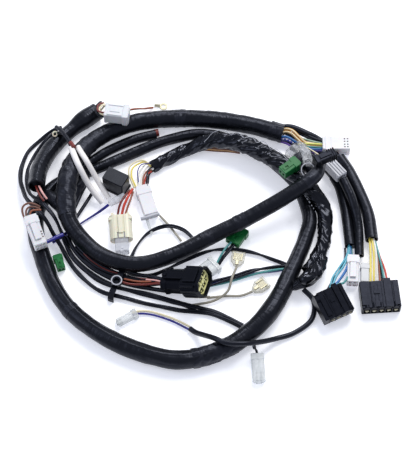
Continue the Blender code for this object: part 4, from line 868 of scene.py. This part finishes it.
def moulded_ring(radius, thickness, finish, steps, sides):
    """A round ring, its radius and half its thickness in millimetres."""
    bpy.ops.mesh.primitive_torus_add(major_radius=radius * MM, minor_radius=thickness * MM,
                                     major_segments=steps, minor_segments=sides)
    ring = bpy.context.object
    ring.data.materials.append(finish)
    return ring


# The rolled end is clear vinyl; its ring is drawn opaque light grey, a painted highlight for its bright outline.
seated([moulded_ring(5.8, 0.42, grey_nylon, 48, 10)], "clear_ring", (83.9, 54.5, 33), 20, 28)


# Small fastenings: the stud clip's bright rim, a tie round the left branch, and short clear ties.
# They are thin bands and rings that hold single wires.
seated([moulded_ring(4.2, 0.6, grey_nylon, 40, 8)], "clip_rim", (-76.3, -40.6, 13.0), 0)
seated([moulded_ring(2.0, 0.7, cream_nylon, 32, 8)], "cream_loop", (-133.6, 101.4, 17), 40, 50)
form = bmesh.new()
sweep(form, [
    (-133.1, 109.2, 17), (-129.1, 104.1, 20), (-124.2, 96.2, 23.4), (-119.3, 87.3, 26), (-116.3, 80.9, 28)
], 3.4, drawn(31.0, 0.06), 16, 0.8, flat=0.5)
sweep(form, [(-118.7, 85.8, 27.4), (-115.3, 79.7, 29)], 3.9, None, 14, 0.8, paint=1)
finish_piece(form, "branch_strap", [pvc_tape, palette[MAROON]])
form = bmesh.new()
sweep(form, [
    (-53.4, 26.6, 7), (-52.1, 20.5, 5.6), (-50.3, 14.6, 4), (-48.2, 9.3, 2.2)
], 2.6, crumpled(33.0, 0.2), 16, 0.6, flat=0.6)
sweep(form, [
    (-57.6, 21.1, 8), (-52.4, 22, 9), (-47.4, 24, 9), (-42.4, 26.4, 7.4)
], 3.2, drawn(34.0, 0.1), 16, 0.6, paint=1)
finish_piece(form, "small_ties", [milky_vinyl, grey_nylon])
form = bmesh.new()
sweep(form, [(-47.7, 110.4, 4.4), (-44.1, 111.2, 4.4)], 7.0, drawn(35.0), 20, 0.6, open_end=0.25)
finish_piece(form, "middle_branch_end", [palette[MAROON]])


# Flat black connector over the upper trunk's end: a slim PBT barrel, moulded in one with its latch.
# Four ribs round its mating end give a grip.
parts = slabs(black_pbt, 0.7, ((7.6, 19.5, 7.4), (0, 0.4, 0)))
parts += slabs(black_pbt, 0.6, ((8.6, 4.0, 8.4), (0, 8.0, 0)))
parts += slabs(black_pbt, 0.3, ((3.0, 11, 1.2), (0, 0, 3.9)))
# Painted shade: a dark plate at the mating end stands for the shade inside its opening.
parts += slabs(shadow, 0.2, ((5.4, 1.0, 5.0), (0, -9.4, 0)))
parts += slabs(black_pbt, 0.25, *[((8.8, 0.9, 8.6), (0, -8.6 + 1.9 * i, 0)) for i in range(4)])
seated(parts, "flat_black_connector", (98.7, 63.8, 38), 116, 0, ["flat_black_housing"])


# Broad white block at the top: a natural nylon connector, its wires entering at the left end.
# Its top is a plain panel between two low rails.
parts = slabs(natural_nylon, 0.9, ((13.0, 20.5, 11.6), (0, -1.0, 0)))
parts += slabs(natural_nylon, 0.8, ((14.6, 5.0, 12.8), (0, -8.0, 0)), ((13.8, 3.0, 12.2), (0, 8.6, 0)))
parts += slabs(natural_nylon, 0.3, ((1.4, 15.0, 1.0), (-5.0, 0, 5.9)), ((1.4, 15.0, 1.0), (5.0, 0, 5.9)),
               ((4.4, 9.0, 0.8), (0, 1.0, 5.9)))
seated(parts, "top_white_block", (-80.4, 118.4, 23.1), 82, 0, ["top_white_housing"])


# Marks in the mouldings: the small open windows where each terminal latches, seen dark in the white nylon, each
# drawn as a thin dark plate of painted shade.
# They are set in rows at the mating end of each block.
for name, at, turn, (columns, rows) in (
        ("long_block_windows", (110.9, 96.2, 11.36), 90, ((-4.2, -1.6, 1.4, 4.0), (-9.8, -7.2))),
        ("left_block_windows", (-144.8, 1.2, 25.24), 21, ((1.6, 4.0), (-9.0, -6.4, -3.8))),
        ("bottom_clear_windows", (40.0, -117.0, 7.3), 3, ((-1.8, 1.8), (-7.6, -5.0)))):
    windows = slabs(shadow, 0.08, *[((1.0, 1.3, 0.25), (x, y, 0)) for x in columns for y in rows])
    seated(windows, name, at, turn)


# Relay's top: fine moulded lines across a dull black case; the top plate and its lines are painted charcoal, lighter
# than the case, as painted sheen of the light on the fine ribs.
# Each line is a low rib, drawn a little coarser than the real ones so that it shows.
sheen_painted_pbt = plastic("black pbt lightened as painted sheen", "#2b2d34", "#3a3d46", 0.5, 0.12, 300.0, 70.0, Specular_IOR_Level=0.3)
parts = slabs(sheen_painted_pbt, 0.1, ((19.2, 12.6, 0.3), (0, 0, -0.1)),
              *[((18.6, 0.5, 0.5), (0, -5.4 + 1.2 * i, 0.1)) for i in range(10)])
seated(parts, "relay_lines", (-79.8, 57.4, 18.05), -28)


# Spade terminals: stamped brass with rolled edges inside their clear sleeves.
# Behind each blade is the barrel that is crimped over its wire.
for name, at, turn in (("spade_terminal_b", (24.3, -15.1, 3.4), 170), ("spade_terminal_a", (42.6, -40.5, 3.2), 128)):
    parts = slabs(tinned_brass, 0.2, ((6.4, 7.0, 0.8), (0, -1.5, 0.6)))
    parts += slabs(tinned_brass, 0.3, ((1.3, 7.0, 1.8), (-3.2, -1.5, 1.0)), ((1.3, 7.0, 1.8), (3.2, -1.5, 1.0)))
    parts += slabs(tinned_brass, 0.4, ((2.8, 4.6, 2.2), (0, 4.0, 0.8)))
    seated(parts, name, at, turn)


# Inner loom: more single cables of the same loom lie close together under the upper trunk's curve.
# They run from the left junction to the six-way connector and the leads beyond it.
LOOM_STRANDS = [
    (BLACK, 3.4, [(-122.4, 4.2, 5), (-116.7, -10.7, 4), (-104.5, -25, 3), (-87.4, -37.2, 2.6), (-70.5, -43.3, 2.6),
        (-48.8, -48.4, 2.4), (-30.5, -53.8, 2), (-17.2, -58, 2), (-2.3, -62.2, 2), (14.2, -69.1, 2),
        (28.1, -76.9, 2)]),
    (BLACK, 3.6, [(-119.7, 5, 7), (-112.5, -8.6, 5.4), (-100.3, -22, 4.4), (-83.3, -33.2, 4), (-66.4, -39.8, 4),
        (-48.8, -44.1, 5), (-34.6, -47.5, 7)]),
    (BLACK, 3.4, [(-116.2, 4.5, 8), (-108.2, -7.6, 7), (-96.1, -19, 6), (-80, -28.3, 5.6), (-64.8, -34.5, 5.6),
        (-48.9, -38.1, 7), (-35.5, -41.6, 10)]),
    (BLACK, 3.0, [(-112.6, 0, 9), (-103.9, -10.1, 8), (-91.9, -19.1, 7), (-76.7, -26, 6.6), (-62.3, -31, 7),
        (-47.2, -35.4, 9), (-35.4, -39.4, 12)]),
    (MAROON, 1.9, [(-74.5, -39.2, 9), (-65.3, -42, 9), (-52.9, -42.5, 9), (-43.7, -42.6, 11), (-34.5, -44.2, 13)]),
    (PINK, 1.3, [(-52.1, -38.3, 10), (-43.7, -40.3, 12), (-34.5, -43.8, 14)]),
    (BROWN, 1.6, [(-70.4, -37.3, 9), (-58.7, -39.6, 9), (-47.1, -40.4, 10.4), (-34.5, -41.7, 13.6)]),
    (GREY, 2.1, [(1, -50.5, 2), (-7.3, -50.7, 2.1), (-18.9, -50.3, 2.4)]),
    (BLACK, 3.0, [(-99.6, 50.4, 4), (-105.2, 39.4, 4), (-111.5, 27.4, 4), (-117, 16, 5)]),
    (BLACK, 3.2, [(-106.6, 55.8, 5), (-110.4, 45.1, 6), (-114.2, 34.2, 6), (-117.9, 21.7, 7)]),
    (BLACK, 2.6, [(-125.7, 11.1, 10), (-120.2, -4.1, 6), (-108.9, -18.3, 3), (-92.6, -31.6, 2), (-77.3, -40.1, 2),
        (-60.5, -46.7, 2), (-40.5, -52.3, 1.8), (-25.5, -56.9, 1.8), (-10.6, -59.7, 1.8), (4.3, -63.4, 1.8),
        (19.1, -70.9, 1.8)])]
form = bmesh.new()
for paint, thickness, route in LOOM_STRANDS:
    sweep(form, route, thickness, drawn(41.0 + thickness, 0.05, 0.02), 14, 1.2, paint)
finish_piece(form, "inner_loom", palette)


# Left junction: the leads, the side cable and the lower trunk are bound to the upper trunk's bend.
# The binding is vinyl tape, drawn flat over the cables and pulled in between them.
form = bmesh.new()
sweep(form, [
    (-139.1, 45.1, 11, 0.6), (-133.6, 39.5, 12, 0.85), (-127.4, 33.5, 12), (-121.1, 26.6, 12),
    (-116.6, 17.4, 11, 0.8), (-113.8, 8.8, 9, 0.6)
], 13.0, taped(51.0, 0.06, 11.0), 40, 0.9, flat=0.8)
sweep(form, [
    (-105.2, 64.9, 5, 0.6), (-110.8, 56.6, 7), (-115.5, 46.9, 8), (-118.4, 35.9, 8, 0.8)
], 10.0, taped(52.0, 0.06, 9.0), 36, 0.9)
finish_piece(form, "left_junction", [pvc_tape])


# Cables behind the white block: the right-hand branch's wires come over from the upper trunk's end.
# Two thin black sleeves run partly under the block; three more cross below it to the twin branches.
form = bmesh.new()
sweep(form, [
    (62.3, 114.1, 9), (72.8, 112.9, 10), (84.9, 107.8, 9), (95.5, 103.5, 6), (105.8, 95.3, 4.2), (112.3, 85.4, 5),
    (117.9, 74.5, 6)
], 5.4, drawn(36.0, 0.06, 0.03), 20, 1.0)
sweep(form, [
    (63.3, 112.9, 6), (76.4, 106.9, 4), (90.1, 96, 3), (100.3, 88.5, 3.4), (107.8, 79.9, 4), (111.8, 70.4, 4.4)
], 5.0, drawn(37.0, 0.06, 0.03), 20, 1.0)
sweep(form, [
    (72.6, 96.8, 5), (84.6, 88.5, 5), (95.6, 80, 5.4), (104.7, 69.4, 6), (111.2, 57.5, 5.6), (114.1, 43.7, 5)
], 7.6, drawn(38.0, 0.06, 0.05), 24, 1.0)
sweep(form, [
    (76.5, 84.5, 8), (81.4, 76.1, 10), (87.7, 65.4, 14), (93.4, 58.5, 17)
], 9.0, crumpled(39.0, 0.15), 36, 0.8)
sweep(form, [
    (110.8, 66.3, 4.4), (115.4, 52.4, 4), (119.4, 35.5, 3.8), (120.8, 16.7, 3.8), (121.1, -3.9, 4)
], 6.4, drawn(40.0, 0.06, 0.05), 24, 1.0)
finish_piece(form, "crossing_cables", [cable_jacket])
